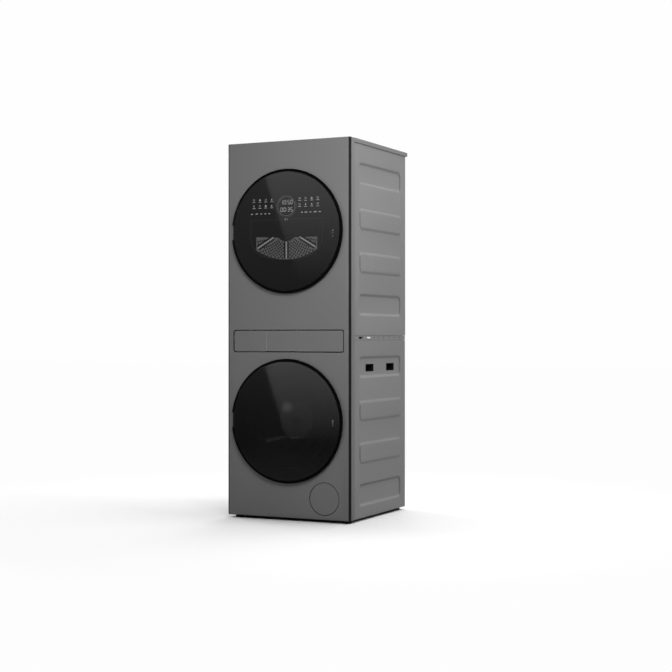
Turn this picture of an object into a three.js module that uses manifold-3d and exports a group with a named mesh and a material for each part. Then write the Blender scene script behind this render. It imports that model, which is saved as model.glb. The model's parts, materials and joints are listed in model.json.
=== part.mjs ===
// Stacked washer and dryer: a front-loading washer below and a heat-pump dryer above,
// behind one full-height front panel. Millimetres, +Z up, front towards -Y.
// The origin is at floor level, under the middle of the outer box.

import * as THREE from 'three';
import { mergeVertices } from 'three/addons/utils/BufferGeometryUtils.js';
import { ConvexGeometry } from 'three/addons/geometries/ConvexGeometry.js';
import Module from 'manifold-3d';

const wasm = await Module();
wasm.setup();

// ---- driving dimensions ----

const GAP = 0.3; // running gap between pieces that touch
const CLEAR = 0.6; // gap around a piece that is lifted or slid into place
const HALF_WIDTH = 300;
const HEIGHT = 1645;
const FOOT_GAP = 12; // floor to the bottom edge of the cabinet
const FRONT = -300; // front face of the front panel
const SHEET = 2; // steel sheet, a little thick so that it models well

// Front panel, with its returns onto the sides
const PANEL_CORNER = 12;
const PANEL_DEPTH = 40;
const PANEL_OPENING = 200; // radius of both door openings

// Side panels: a lower one for the washer, an upper one for the dryer
const SIDE_FACE = 296; // plain sheet; raised pads reach the full half width
const SIDE_FRONT = FRONT + 47;
const WASHER_TOP = 781;
const DRYER_BOTTOM = 801;
const WASHER_BACK = 300;
const DRYER_BACK = 303;
const INLET_X = -240;
const INLET_FLANGE = 14;
const INLET_BORE = 5;
const INLET_DEPTH = 11;
const PAD_FRONT = FRONT + 95;
const PAD_BACK = FRONT + 549;
const PAD_BEVEL = 16;
const PAD_RAISED = 4;
const PAD_RECESSED = 6;
const WASHER_PADS = [
  { low: 61, high: 164, raised: false },
  { low: 243, high: 343, raised: true },
  { low: 427, high: 524, raised: true },
  { low: 615, high: 714, raised: false },
];
const DRYER_PADS = [
  { low: 884, high: 984, raised: false },
  { low: 1066, high: 1164, raised: true },
  { low: 1253, high: 1352, raised: true },
  { low: 1450, high: 1550, raised: false },
];
const GRIP_LOW = 644;
const GRIP_HIGH = 677;
const GRIP_HOLES = [[FRONT + 175, FRONT + 261], [FRONT + 397, FRONT + 485]];

// Top cover
const COVER_BOTTOM = 1627;
const COVER_FRONT = FRONT + PANEL_DEPTH + 1;
const COVER_REAR = 320;
const COVER_EDGE = 5;

// Feet
const FOOT_X = 262;
const FOOT_FRONT_Y = FRONT + 46;
const FOOT_REAR_Y = FRONT + 570;
const FOOT_RADIUS = 19;
const STEM_RADIUS = 5;

// Round doors
const WASHER_Z = 431.5;
const DRYER_Z = 1252;
const DOOR_RADIUS = 269;
const DOOR_BACK = FRONT - 2;
const GLASS_RADIUS = 258.2;
const GLASS_FRONT = -320;
const GLASS_BACK = -314;
const RING_BORE = 205;
const HINGE_X = -263;
const HINGE_Y = -308.5;
const KNUCKLE_RADIUS = 4.5;
const KNUCKLE_HALF = 30;
const PIN_RADIUS = 2.2;
const HINGE_NOTCH_HALF = 32;
const HOOK_X = 232;

// Detergent drawer band
const BAND_HALF = 269.5;
const BAND_LOW = 728;
const BAND_HIGH = 826.5;
const BAND_CORNER = 14;
const BAND_GROOVE = 4;
const DRAWER_SPLIT = -105; // seam between the drawer front and the fixed fascia

// Service flap and drain filter
const FLAP_X = 176;
const FLAP_Z = 102;
const FLAP_HOLE = 70.5;
const FLAP_RADIUS = 69;

// Washer group
const TUB_RADIUS = 262;
const TUB_WALL = 5;
const TUB_FRONT = -235;
const TUB_BACK = 160;
const DRUM_RADIUS = 245;
const DRUM_WALL = 2;
const PULLEY_RADIUS = 140;
const MOTOR_PULLEY_RADIUS = 12;
const MOTOR_X = -150;
const MOTOR_Z = 125;
const SPRING_X = 225;
const DAMPER_X = 170;

// Dryer group
const DRYER_DRUM_RADIUS = 262;
const DRYER_MOTOR_X = 170;
const DRYER_MOTOR_Z = 905;

const ROUND = 40; // facets on the doors
const MEDIUM = 28;
const SMALL = 12;

// ---- materials ----

function paint(color, roughness, metalness) {
  return new THREE.MeshStandardMaterial({ color, roughness, metalness });
}

const panelPaint = paint(0x77787a, 0.38, 0.6);
const sidePaint = paint(0x88898b, 0.45, 0.4);
const coverPaint = paint(0x7d7e80, 0.45, 0.3);
const blackPlastic = paint(0x141416, 0.4, 0);
const darkGlass = paint(0x17181b, 0.08, 0);
const clearGlass = paint(0x8d979b, 0.05, 0);
const whitePlastic = paint(0xd8d8d6, 0.5, 0);
const greyPlastic = paint(0x9a9c9e, 0.55, 0);
const rubber = paint(0x6f7275, 0.8, 0);
const blackRubber = paint(0x1a1a1a, 0.85, 0);
const stainless = paint(0xb9bcc0, 0.3, 1);
const zincSteel = paint(0xa4a8ab, 0.45, 0.9);
const castIron = paint(0x56585a, 0.7, 0.5);
const finAluminium = paint(0xc3c6c8, 0.4, 0.9);
const blackEnamel = paint(0x222326, 0.5, 0.3);

// ---- solids ----

// A closed three.js geometry as a manifold solid with its faces pointing out.
function solid(geometry) {
  const bare = geometry.clone();
  bare.deleteAttribute('normal');
  bare.deleteAttribute('uv');
  const merged = mergeVertices(bare, 1e-4);
  const points = merged.attributes.position;
  const index = merged.index.array;
  const triangles = [];
  const a = new THREE.Vector3();
  const b = new THREE.Vector3();
  const c = new THREE.Vector3();
  let volume = 0;
  for (let i = 0; i < index.length; i += 3) {
    const [p, q, r] = [index[i], index[i + 1], index[i + 2]];
    if (p === q || q === r || r === p) continue;
    triangles.push(p, q, r);
    a.fromBufferAttribute(points, p);
    b.fromBufferAttribute(points, q);
    c.fromBufferAttribute(points, r);
    volume += a.dot(b.cross(c));
  }
  if (volume < 0) triangles.reverse();
  return new wasm.Manifold(new wasm.Mesh({
    numProp: 3,
    vertProperties: new Float32Array(points.array),
    triVerts: new Uint32Array(triangles),
  }));
}

function cut(body, ...tools) {
  return tools.reduce((rest, tool) => rest.subtract(tool), body);
}

function join(body, ...others) {
  return others.reduce((sum, other) => sum.add(other), body);
}

function box([x0, x1], [y0, y1], [z0, z1]) {
  const size = [Math.abs(x1 - x0), Math.abs(y1 - y0), Math.abs(z1 - z0)];
  const geometry = new THREE.BoxGeometry(...size);
  geometry.translate((x0 + x1) / 2, (y0 + y1) / 2, (z0 + z1) / 2);
  return solid(geometry);
}

// Turns a profile of [radius, y] points about an axis along Y through (x, z).
function turnedY(profile, x, z, facets = MEDIUM) {
  const points = profile.map(([r, y]) => new THREE.Vector2(r, y));
  const geometry = new THREE.LatheGeometry(points, facets);
  geometry.translate(x, 0, z);
  return solid(geometry);
}

// Turns a profile of [radius, z] points about an axis along Z through (x, y).
function turnedZ(profile, x, y, facets = SMALL) {
  const points = profile.map(([r, z]) => new THREE.Vector2(r, z));
  const geometry = new THREE.LatheGeometry(points, facets);
  geometry.rotateX(Math.PI / 2);
  geometry.scale(1, -1, 1);
  geometry.translate(x, y, 0);
  return solid(geometry);
}

function closeLoop(profile) {
  return [...profile, profile[0]];
}

function cylinderY(radius, [y0, y1], x, z, facets = MEDIUM) {
  return turnedY([[0, y0], [radius, y0], [radius, y1], [0, y1]], x, z, facets);
}

function cylinderZ(radius, [z0, z1], x, y, facets = SMALL) {
  return turnedZ([[0, z0], [radius, z0], [radius, z1], [0, z1]], x, y, facets);
}

// Extrudes an outline drawn in X and Z from one Y to another.
function plateY(shape, [y0, y1], curveSegments = 6) {
  const geometry = new THREE.ExtrudeGeometry(shape, {
    depth: y1 - y0,
    bevelEnabled: false,
    curveSegments,
  });
  geometry.rotateX(Math.PI / 2);
  geometry.translate(0, y1, 0);
  return solid(geometry);
}

// Extrudes an outline drawn in X and Y upwards.
function plateZ(shape, [z0, z1], curveSegments = 4) {
  const geometry = new THREE.ExtrudeGeometry(shape, {
    depth: z1 - z0,
    bevelEnabled: false,
    curveSegments,
  });
  geometry.translate(0, 0, z0);
  return solid(geometry);
}

function roundedRectangle([x0, x1], [y0, y1], radius) {
  const shape = new THREE.Shape();
  shape.absarc(x1 - radius, y0 + radius, radius, -Math.PI / 2, 0);
  shape.absarc(x1 - radius, y1 - radius, radius, 0, Math.PI / 2);
  shape.absarc(x0 + radius, y1 - radius, radius, Math.PI / 2, Math.PI);
  shape.absarc(x0 + radius, y0 + radius, radius, Math.PI, Math.PI * 1.5);
  shape.closePath();
  return shape;
}

// ---- the assembly ----

const stack = new THREE.Group();

function part(name, material, body) {
  const mesh = body.getMesh();
  const geometry = new THREE.BufferGeometry();
  const stride = mesh.numProp;
  const points = new Float32Array((mesh.vertProperties.length / stride) * 3);
  for (let i = 0; i < points.length / 3; i += 1) {
    points.set(mesh.vertProperties.subarray(i * stride, i * stride + 3), i * 3);
  }
  geometry.setAttribute('position', new THREE.BufferAttribute(points, 3));
  geometry.setIndex(new THREE.BufferAttribute(new Uint32Array(mesh.triVerts), 1));
  geometry.computeVertexNormals();
  const piece = new THREE.Mesh(geometry, material.clone());
  piece.name = name;
  stack.add(piece);
}

// ---- casing ----

function frontOutline(inset) {
  const half = HALF_WIDTH - inset;
  const face = FRONT + inset;
  const back = FRONT + PANEL_DEPTH + inset;
  const radius = PANEL_CORNER - inset;
  const shape = new THREE.Shape();
  shape.moveTo(half, back);
  shape.lineTo(-half, back);
  shape.absarc(-half + radius, face + radius, radius, Math.PI, Math.PI * 1.5);
  shape.absarc(half - radius, face + radius, radius, -Math.PI / 2, 0);
  shape.closePath();
  return shape;
}

function bandOutline() {
  return roundedRectangle([-BAND_HALF, BAND_HALF], [BAND_LOW, BAND_HIGH], BAND_CORNER);
}

function frontPanel() {
  const through = [FRONT - 10, FRONT + 20];
  const bottom = FOOT_GAP;
  const outer = plateZ(frontOutline(0), [bottom, HEIGHT]);
  const inner = plateZ(frontOutline(SHEET), [bottom + SHEET, HEIGHT - SHEET]);
  const doorCuts = [WASHER_Z, DRYER_Z].flatMap((z) => [
    cylinderY(PANEL_OPENING, through, 0, z, ROUND),
    box([HINGE_X - 4.6, HINGE_X + 4.6], through, [z - 28.5, z + 28.5]),
    box([HOOK_X - 7, HOOK_X + 7], through, [z - 14, z + 14]),
  ]);
  return cut(
    outer,
    inner,
    plateY(bandOutline(), through),
    cylinderY(FLAP_HOLE, through, FLAP_X, FLAP_Z, MEDIUM),
    ...doorCuts,
  );
}

// A tapered pad from a rectangle at x = base to a smaller one at x = top.
function padSolid(side, base, top, [low, high], grow) {
  const corners = [];
  for (const [x, inset] of [[base, -grow], [top, PAD_BEVEL - grow]]) {
    for (const y of [PAD_FRONT + inset, PAD_BACK - inset]) {
      for (const z of [low + inset, high - inset]) {
        corners.push(new THREE.Vector3(side * x, y, z));
      }
    }
  }
  return solid(new ConvexGeometry(corners));
}

// One pressed steel side panel with its pads and a joggled front edge.
function sidePanel(side, back, [bottom, top], pads, sheetTop) {
  const inside = SIDE_FACE - SHEET;
  const tongue = HALF_WIDTH - SHEET - 10;
  let panel = join(
    box([side * inside, side * SIDE_FACE], [SIDE_FRONT, back], [bottom, sheetTop]),
    box([side * (tongue - 1), side * (inside + 1)], [SIDE_FRONT, SIDE_FRONT + SHEET], [bottom, top]),
    box([side * (tongue - SHEET), side * tongue], [SIDE_FRONT - 17, SIDE_FRONT + SHEET], [bottom, top]),
  );
  for (const pad of pads) {
    const span = [pad.low, pad.high];
    const step = pad.raised ? PAD_RAISED : -PAD_RECESSED;
    const outer = [SIDE_FACE, SIDE_FACE + step];
    const inner = [inside, inside + step];
    if (pad.raised) {
      panel = join(panel, padSolid(side, outer[0] - 0.5, outer[1], span, 0));
      panel = cut(panel, padSolid(side, inner[0] - 1, inner[1], span, -0.5));
    } else {
      panel = join(panel, padSolid(side, inner[0] + 0.5, inner[1], span, 0));
      panel = cut(panel, padSolid(side, outer[0] + 1, outer[1], span, -0.5));
    }
  }
  return panel;
}

function gripHoles(side) {
  return GRIP_HOLES.map((span) => box([side * 270, side * 310], span, [GRIP_LOW, GRIP_HIGH]));
}

function joiningStrip(side) {
  const strip = box(
    [side * 286, side * 294],
    [SIDE_FRONT + 4, WASHER_BACK - 3],
    [WASHER_TOP + GAP, DRYER_BOTTOM - GAP],
  );
  const slot = box([side * 280, side * 300], [FRONT + 96, FRONT + 138], [788, 794]);
  return cut(strip, slot);
}

// A sheet tray: flat bottom with a turned-up rim.
function tray([x0, x1], [y0, y1], [z0, z1]) {
  const hollow = box([x0 + SHEET, x1 - SHEET], [y0 + SHEET, y1 - SHEET], [z0 + SHEET, z1 + 10]);
  return cut(box([x0, x1], [y0, y1], [z0, z1]), hollow);
}

function topCover() {
  const low = COVER_BOTTOM;
  const section = new THREE.Shape();
  section.moveTo(COVER_FRONT, low);
  section.lineTo(COVER_REAR - 2, low);
  section.absarc(COVER_REAR - COVER_EDGE, HEIGHT - COVER_EDGE, COVER_EDGE, 0, Math.PI / 2);
  section.lineTo(COVER_FRONT, HEIGHT);
  section.closePath();
  const along = new THREE.ExtrudeGeometry(section, {
    depth: 2 * HALF_WIDTH,
    bevelEnabled: false,
    curveSegments: 4,
  });
  // The section is drawn in (y, z) and extruded along X.
  along.applyMatrix4(new THREE.Matrix4().set(
    0, 0, 1, -HALF_WIDTH,
    1, 0, 0, 0,
    0, 1, 0, 0,
    0, 0, 0, 1,
  ));
  const half = SIDE_FACE + GAP;
  const hollow = box([-half, half], [COVER_FRONT + 3, DRYER_BACK + CLEAR], [low - 5, HEIGHT - 3]);
  return cut(solid(along), hollow);
}

function backPanel(y, [bottom, top], cover) {
  const half = SIDE_FACE - SHEET - GAP;
  const sheet = box([-half, half], [y - SHEET, y], [bottom, top]);
  return cut(join(sheet, cover.raised), cover.hollow);
}

// A shallow round cover pressed out of a back panel.
function pressedRound(y, z, radius, height) {
  const raised = turnedY([[0, y - 1], [radius, y - 1], [radius - 8, y + height], [0, y + height]],
    0, z, MEDIUM);
  const lower = y - SHEET;
  const hollow = turnedY([
    [0, lower - 1],
    [radius - 2, lower - 1],
    [radius - 10, lower + height],
    [0, lower + height],
  ], 0, z, MEDIUM);
  return { raised, hollow };
}

// Mains inlet on a back panel: a flanged bush with a blind bore for the supply lead.
function mainsInlet(y, z) {
  const bush = turnedY([
    [0, y - 1],
    [INLET_FLANGE, y - 1],
    [INLET_FLANGE, y + 2],
    [INLET_FLANGE - 5, y + 3],
    [INLET_FLANGE - 5.5, y + INLET_DEPTH],
    [0, y + INLET_DEPTH],
  ], INLET_X, z, SMALL);
  return cut(bush, cylinderY(INLET_BORE, [y + 3, y + INLET_DEPTH + 1], INLET_X, z, SMALL));
}

function foot(x, y) {
  return turnedZ([
    [0, 0],
    [FOOT_RADIUS, 0],
    [FOOT_RADIUS, 7],
    [FOOT_RADIUS - 6, FOOT_GAP - 1],
    [STEM_RADIUS, FOOT_GAP - 1],
    [STEM_RADIUS, 44],
    [0, 44],
  ], x, y);
}

function buildCasing() {
  part('front_panel', panelPaint, frontPanel());
  const washerSpan = [FOOT_GAP + SHEET + GAP, WASHER_TOP];
  const dryerSpan = [DRYER_BOTTOM, HEIGHT - SHEET - 2];
  for (const [hand, side] of [['left', -1], ['right', 1]]) {
    const lower = sidePanel(side, WASHER_BACK, washerSpan, WASHER_PADS, WASHER_TOP);
    part(`washer_side_${hand}`, sidePaint, cut(lower, ...gripHoles(side)));
    const upper = sidePanel(side, DRYER_BACK, dryerSpan, DRYER_PADS, HEIGHT - 4);
    const coverFlange = box([side * 270, side * 310], [COVER_FRONT - 20, COVER_FRONT + 4], [1626, 1650]);
    part(`dryer_side_${hand}`, sidePaint, cut(upper, coverFlange));
    part(`joining_strip_${hand}`, zincSteel, joiningStrip(side));
  }
  const washerCover = pressedRound(WASHER_BACK, WASHER_Z, 180, 4);
  const dryerCover = pressedRound(DRYER_BACK, DRYER_Z, 150, 4);
  const washerBack = backPanel(WASHER_BACK, [FOOT_GAP, WASHER_TOP], washerCover);
  part('washer_back_panel', zincSteel, join(washerBack, mainsInlet(WASHER_BACK, 730)));
  const dryerBack = backPanel(DRYER_BACK, [DRYER_BOTTOM, HEIGHT - 4], dryerCover);
  part('dryer_back_panel', zincSteel, join(dryerBack, mainsInlet(DRYER_BACK, 860)));
  part('top_cover', coverPaint, topCover());
  const stemHoles = [];
  for (const [end, y] of [['front', FOOT_FRONT_Y], ['rear', FOOT_REAR_Y]]) {
    for (const [hand, side] of [['left', -1], ['right', 1]]) {
      part(`foot_${end}_${hand}`, blackRubber, foot(side * FOOT_X, y));
      stemHoles.push(cylinderZ(STEM_RADIUS + GAP, [0, 60], side * FOOT_X, y));
    }
  }
  const base = tray([-285, 285], [-297.6, 297.6], [FOOT_GAP + SHEET + GAP, 28]);
  part('base_plate', zincSteel, cut(base, ...stemHoles));
  part('middle_deck', zincSteel, tray([-285, 285], [-276, 297], [783, 799]));
}

// ---- detergent drawer ----

const drawerLeft = -BAND_HALF + BAND_GROOVE;
const drawerRight = DRAWER_SPLIT - 2;
const faceLow = BAND_LOW + BAND_GROOVE;
const faceHigh = BAND_HIGH - BAND_GROOVE;
const faceSpan = [FRONT + 1, FRONT + 14];
const housingX = [-260, -102];
const housingY = [FRONT + 16, -30];
const housingZ = [728, 780];
const trayX = [-254, -108];
const trayY = [faceSpan[1] + GAP, -45];
const trayZ = [734, 771];

function facePlate([x0, x1], leftRadius, rightRadius) {
  const shape = new THREE.Shape();
  shape.absarc(x1 - rightRadius, faceLow + rightRadius, rightRadius, -Math.PI / 2, 0);
  shape.absarc(x1 - rightRadius, faceHigh - rightRadius, rightRadius, 0, Math.PI / 2);
  shape.absarc(x0 + leftRadius, faceHigh - leftRadius, leftRadius, Math.PI / 2, Math.PI);
  shape.absarc(x0 + leftRadius, faceLow + leftRadius, leftRadius, Math.PI, Math.PI * 1.5);
  shape.closePath();
  return plateY(shape, faceSpan);
}

function drawerTray() {
  const wall = 3;
  const shell = box(trayX, trayY, trayZ);
  const chambers = [[trayX[0] + wall, -200], [-197, -153], [-150, trayX[1] - wall]];
  const hollows = chambers.map((span) => (
    box(span, [trayY[0] + wall, trayY[1] - wall], [trayZ[0] + wall, trayZ[1] + 10])
  ));
  return cut(shell, ...hollows);
}

function buildDrawer() {
  const wall = 3;
  const housing = box(housingX, housingY, housingZ);
  const mouth = box(
    [housingX[0] + wall, housingX[1] - wall],
    [housingY[0] - 10, housingY[1] - wall],
    [housingZ[0] + wall, housingZ[1] - wall],
  );
  part('dispenser_housing', whitePlastic, cut(housing, mouth));
  part('detergent_drawer', whitePlastic, drawerTray());
  part('drawer_front', panelPaint, facePlate([drawerLeft, drawerRight], 10, 2));
  part('dispenser_fascia', panelPaint, facePlate([DRAWER_SPLIT + 2, -drawerLeft], 2, 10));
}

// ---- washer ----

// Wall of the tub and the lugs that its springs and dampers hold.
function washerTub() {
  const [out, wall] = [TUB_RADIUS, TUB_WALL];
  const shell = turnedY(closeLoop([
    [190, TUB_FRONT],
    [out, TUB_FRONT],
    [out, TUB_BACK],
    [18, TUB_BACK],
    [18, TUB_BACK - wall],
    [out - wall, TUB_BACK - wall],
    [out - wall, TUB_FRONT + wall],
    [190, TUB_FRONT + wall],
  ]), 0, WASHER_Z, MEDIUM);
  const lugs = [-1, 1].flatMap((side) => [
    box([side * 196, side * (SPRING_X + 10)], [-12, 12], [586, 594]),
    box([side * (DAMPER_X - 12), side * (DAMPER_X + 12)], [-12, 12], [226, 236]),
  ]);
  return join(shell, ...lugs);
}

function counterweight() {
  const shape = new THREE.Shape();
  const [low, high] = [Math.PI * 0.14, Math.PI * 0.86];
  shape.absarc(0, 0, 252, low, high);
  shape.absarc(0, 0, 207, high, low, true);
  shape.closePath();
  const geometry = new THREE.ExtrudeGeometry(shape, {
    depth: 22,
    bevelEnabled: false,
    curveSegments: 12,
  });
  geometry.rotateX(Math.PI / 2);
  geometry.translate(0, -238, WASHER_Z);
  return solid(geometry);
}

class Coil extends THREE.Curve {
  constructor(x, y, [bottom, top], radius, turns) {
    super();
    Object.assign(this, { x, y, bottom, top, radius, turns });
  }

  getPoint(t, target = new THREE.Vector3()) {
    const angle = t * this.turns * 2 * Math.PI;
    return target.set(
      this.x + this.radius * Math.cos(angle),
      this.y + this.radius * Math.sin(angle),
      this.bottom + (this.top - this.bottom) * t,
    );
  }
}

function coilSpring(x, span) {
  const turns = 5;
  const wire = new THREE.Shape();
  wire.absarc(0, 0, 2, 0, Math.PI * 2);
  wire.closePath();
  const geometry = new THREE.ExtrudeGeometry(wire, {
    steps: turns * 8,
    curveSegments: 3,
    bevelEnabled: false,
    extrudePath: new Coil(x, 0, span, 11, turns),
  });
  return solid(geometry);
}

// Shock absorber: a cylinder below with a rod above.
function damper(x) {
  return turnedZ([
    [0, 17.5],
    [13, 17.5],
    [13, 140],
    [6, 142],
    [6, 225.5],
    [0, 225.5],
  ], x, 0);
}

function doorGasket() {
  return turnedY(closeLoop([
    [172, -297],
    [199, -297],
    [187, -287],
    [187, -246],
    [199, -236],
    [176, -236],
    [178, -286],
    [172, -292],
  ]), 0, WASHER_Z, MEDIUM);
}

// An open-fronted drum with a rolled front lip.
function drumShell(z, radius, [front, back], lip) {
  return turnedY([
    [0, back],
    [radius, back],
    [radius, front],
    [lip, front],
    [lip, front + DRUM_WALL],
    [radius - DRUM_WALL, front + DRUM_WALL],
    [radius - DRUM_WALL, back - DRUM_WALL],
    [0, back - DRUM_WALL],
  ], 0, z, MEDIUM);
}

// A tapered rib along the drum, standing on its wall at the given angle.
function lifter(z, wallRadius, halfBase, [front, back], height, angle) {
  const corners = [];
  for (const [radius, half, inset] of [[wallRadius, halfBase, 0], [wallRadius - height, 9, 12]]) {
    for (const y of [front + inset, back - inset]) {
      for (const across of [-half, half]) {
        const corner = new THREE.Vector3(radius, y, across);
        corner.applyAxisAngle(new THREE.Vector3(0, 1, 0), -angle);
        corner.z += z;
        corners.push(corner);
      }
    }
  }
  return solid(new ConvexGeometry(corners));
}

// Closed outline around two circles, as a belt lies on its two pulleys.
function beltOutline(big, small, path) {
  const [dx, dz] = [small.x - big.x, small.z - big.z];
  const distance = Math.hypot(dx, dz);
  const heading = Math.atan2(dz, dx);
  const spread = Math.acos((big.r - small.r) / distance);
  path.absarc(big.x, big.z, big.r, heading + spread, heading - spread + 2 * Math.PI);
  path.absarc(small.x, small.z, small.r, heading - spread, heading + spread);
  path.closePath();
  return path;
}

function belt(big, small, yRange) {
  const thick = 4;
  const slack = 2.6;
  const grow = (circle, by) => ({ ...circle, r: circle.r + by });
  const outline = beltOutline(grow(big, slack + thick), grow(small, slack + thick), new THREE.Shape());
  outline.holes.push(beltOutline(grow(big, slack), grow(small, slack), new THREE.Path()));
  return plateY(outline, yRange, 16);
}

function pulleyDisc(radius, shaft, [y0, y1], [discFront, discBack], x, z, facets) {
  return turnedY([
    [0, y0],
    [shaft, y0],
    [shaft, discFront],
    [radius, discFront],
    [radius, discBack],
    [shaft, discBack],
    [shaft, y1],
    [0, y1],
  ], x, z, facets);
}

function buildWasher() {
  const wallRadius = DRUM_RADIUS - 6;
  part('washer_tub', greyPlastic, washerTub());
  part('counterweight', castIron, counterweight());
  for (const [hand, side] of [['left', -1], ['right', 1]]) {
    part(`suspension_spring_${hand}`, zincSteel, coilSpring(side * SPRING_X, [597, 760]));
    part(`damper_${hand}`, blackPlastic, damper(side * DAMPER_X));
  }
  part('door_gasket', rubber, doorGasket());
  part('washer_drum', stainless, drumShell(WASHER_Z, DRUM_RADIUS, [-222, 140], 205));
  for (let i = 0; i < 3; i += 1) {
    const angle = Math.PI * (0.5 + (2 * i) / 3);
    const rib = lifter(WASHER_Z, wallRadius, 32, [-200, 130], 44, angle);
    part(`washer_lifter_${i + 1}`, greyPlastic, rib);
  }
  part('drum_pulley', finAluminium,
    pulleyDisc(PULLEY_RADIUS, 14, [140 + GAP, 203], [186, 200], 0, WASHER_Z, MEDIUM));
  part('washer_motor', blackEnamel, cylinderY(50, [60, 180], MOTOR_X, MOTOR_Z, 24));
  part('washer_motor_pulley', zincSteel,
    pulleyDisc(MOTOR_PULLEY_RADIUS, 7, [180 + GAP, 203], [184, 202], MOTOR_X, MOTOR_Z, SMALL));
  part('washer_belt', blackRubber, belt(
    { x: 0, z: WASHER_Z, r: PULLEY_RADIUS },
    { x: MOTOR_X, z: MOTOR_Z, r: MOTOR_PULLEY_RADIUS },
    [188, 198],
  ));
}

function buildDrain() {
  const pump = turnedY([
    [0, -150],
    [28, -150],
    [28, -90],
    [0, -90],
  ], FLAP_X, FLAP_Z, 24);
  const bowl = turnedY([
    [0, -150],
    [38, -150],
    [38, -245],
    [33, -245],
    [33, -156],
    [0, -156],
  ], FLAP_X, FLAP_Z, 24);
  part('drain_pump', greyPlastic, join(pump, bowl));
  const plug = cylinderY(31, [-262, -180], FLAP_X, FLAP_Z, 24);
  const grip = box([FLAP_X - 6, FLAP_X + 6], [-276, -261], [FLAP_Z - 28, FLAP_Z + 28]);
  part('pump_filter_cap', blackPlastic, join(plug, grip));
  const disc = cylinderY(FLAP_RADIUS, [FRONT + 0.5, FRONT + 4.5], FLAP_X, FLAP_Z, MEDIUM);
  const snap = box([FLAP_X - 7, FLAP_X + 7], [FRONT + 4, FRONT + 12], [FLAP_Z + 58, FLAP_Z + 62]);
  part('filter_flap', panelPaint, join(disc, snap));
}

// ---- doors ----

// Round outer frame of a door, with its hinge notch, pin bores and latch hook.
function doorRing(z) {
  const ring = turnedY(closeLoop([
    [RING_BORE, DOOR_BACK],
    [DOOR_RADIUS - 5, DOOR_BACK],
    [DOOR_RADIUS, DOOR_BACK - 8],
    [DOOR_RADIUS, DOOR_BACK - 14],
    [DOOR_RADIUS - 3, DOOR_BACK - 17],
    [GLASS_RADIUS + 0.4, GLASS_FRONT + 0.6],
    [GLASS_RADIUS + 0.4, GLASS_BACK + GAP],
    [RING_BORE, GLASS_BACK + GAP],
  ]), 0, z, ROUND);
  const notch = box([-280, HINGE_X + 5.5], [-330, -290], [z - HINGE_NOTCH_HALF, z + HINGE_NOTCH_HALF]);
  const pinBore = cylinderZ(PIN_RADIUS + 0.5, [z - 38.5, z + 38.5], HINGE_X, HINGE_Y, 12);
  const hook = join(
    box([HOOK_X - 3, HOOK_X + 3], [DOOR_BACK - 1, -280], [z - 10, z + 10]),
    box([HOOK_X - 3, HOOK_X + 3], [-284, -280], [z - 10, z + 13]),
  );
  return join(cut(ring, notch, pinBore), hook);
}

function doorGlass(z) {
  return turnedY([
    [0, GLASS_FRONT],
    [GLASS_RADIUS - 1, GLASS_FRONT],
    [GLASS_RADIUS, GLASS_FRONT + 1],
    [GLASS_RADIUS, GLASS_BACK],
    [0, GLASS_BACK],
  ], 0, z, ROUND);
}

function doorHinge(z) {
  const knuckle = cylinderZ(KNUCKLE_RADIUS, [z - KNUCKLE_HALF, z + KNUCKLE_HALF], HINGE_X, HINGE_Y, 12);
  const pin = cylinderZ(PIN_RADIUS, [z - 38, z + 38], HINGE_X, HINGE_Y, 12);
  const arm = box([HINGE_X - 4, HINGE_X + 4], [HINGE_Y, FRONT + 5], [z - 28, z + 28]);
  const plate = box([-275, -225], [FRONT + SHEET + GAP, FRONT + 6], [z - 50, z + 50]);
  return join(knuckle, pin, arm, plate);
}

function doorLock(z) {
  const body = box([222, 262], [FRONT + SHEET + GAP, -262], [z - 36, z + 36]);
  const mouth = box([HOOK_X - 7, HOOK_X + 7], [FRONT - 5, -274], [z - 17, z + 17]);
  return cut(body, mouth);
}

function washerBowl() {
  const flangeBack = GLASS_BACK + GAP + 5;
  return turnedY([
    [0, -215],
    [110, -215],
    [150, -235],
    [165, -298],
    [165, flangeBack],
    [200, flangeBack],
    [200, GLASS_BACK + GAP],
    [160, GLASS_BACK + GAP],
    [160, -298],
    [146, -238],
    [108, -219],
    [0, -219],
  ], 0, WASHER_Z, MEDIUM);
}

// Inner window of the dryer door: straight sides above, a wide round foot below.
function windowOutline() {
  const shape = new THREE.Shape();
  const [half, top, shoulder, foot] = [176, 52, -20, -124];
  shape.moveTo(-half, top);
  shape.lineTo(-half, shoulder);
  shape.bezierCurveTo(-half, foot + 20, -half * 0.55, foot, 0, foot);
  shape.bezierCurveTo(half * 0.55, foot, half, foot + 20, half, shoulder);
  shape.lineTo(half, top);
  shape.closePath();
  return shape;
}

function buildDoors() {
  for (const [name, z] of [['washer', WASHER_Z], ['dryer', DRYER_Z]]) {
    part(`${name}_door_ring`, blackPlastic, doorRing(z));
    part(`${name}_door_glass`, darkGlass, doorGlass(z));
    part(`${name}_hinge`, blackEnamel, doorHinge(z));
    part(`${name}_door_lock`, blackPlastic, doorLock(z));
  }
  part('washer_door_bowl', clearGlass, washerBowl());
  const window = new THREE.ExtrudeGeometry(windowOutline(), {
    depth: 4,
    bevelEnabled: false,
    curveSegments: 10,
  });
  window.rotateX(Math.PI / 2);
  window.translate(0, GLASS_BACK + GAP + 4, DRYER_Z);
  part('dryer_door_window', clearGlass, solid(window));
  part('display_module', blackPlastic,
    box([-134, 134], [GLASS_BACK + GAP, -309], [DRYER_Z + 56, DRYER_Z + 150]));
  part('dryer_door_liner', greyPlastic, turnedY([
    [0, -291],
    [150, -291],
    [186, -301],
    [RING_BORE - GAP * 2, -301],
    [RING_BORE - GAP * 2, -308],
    [182, -308],
    [148, -297],
    [0, -297],
  ], 0, DRYER_Z, ROUND));
}

// ---- dryer ----

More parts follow.
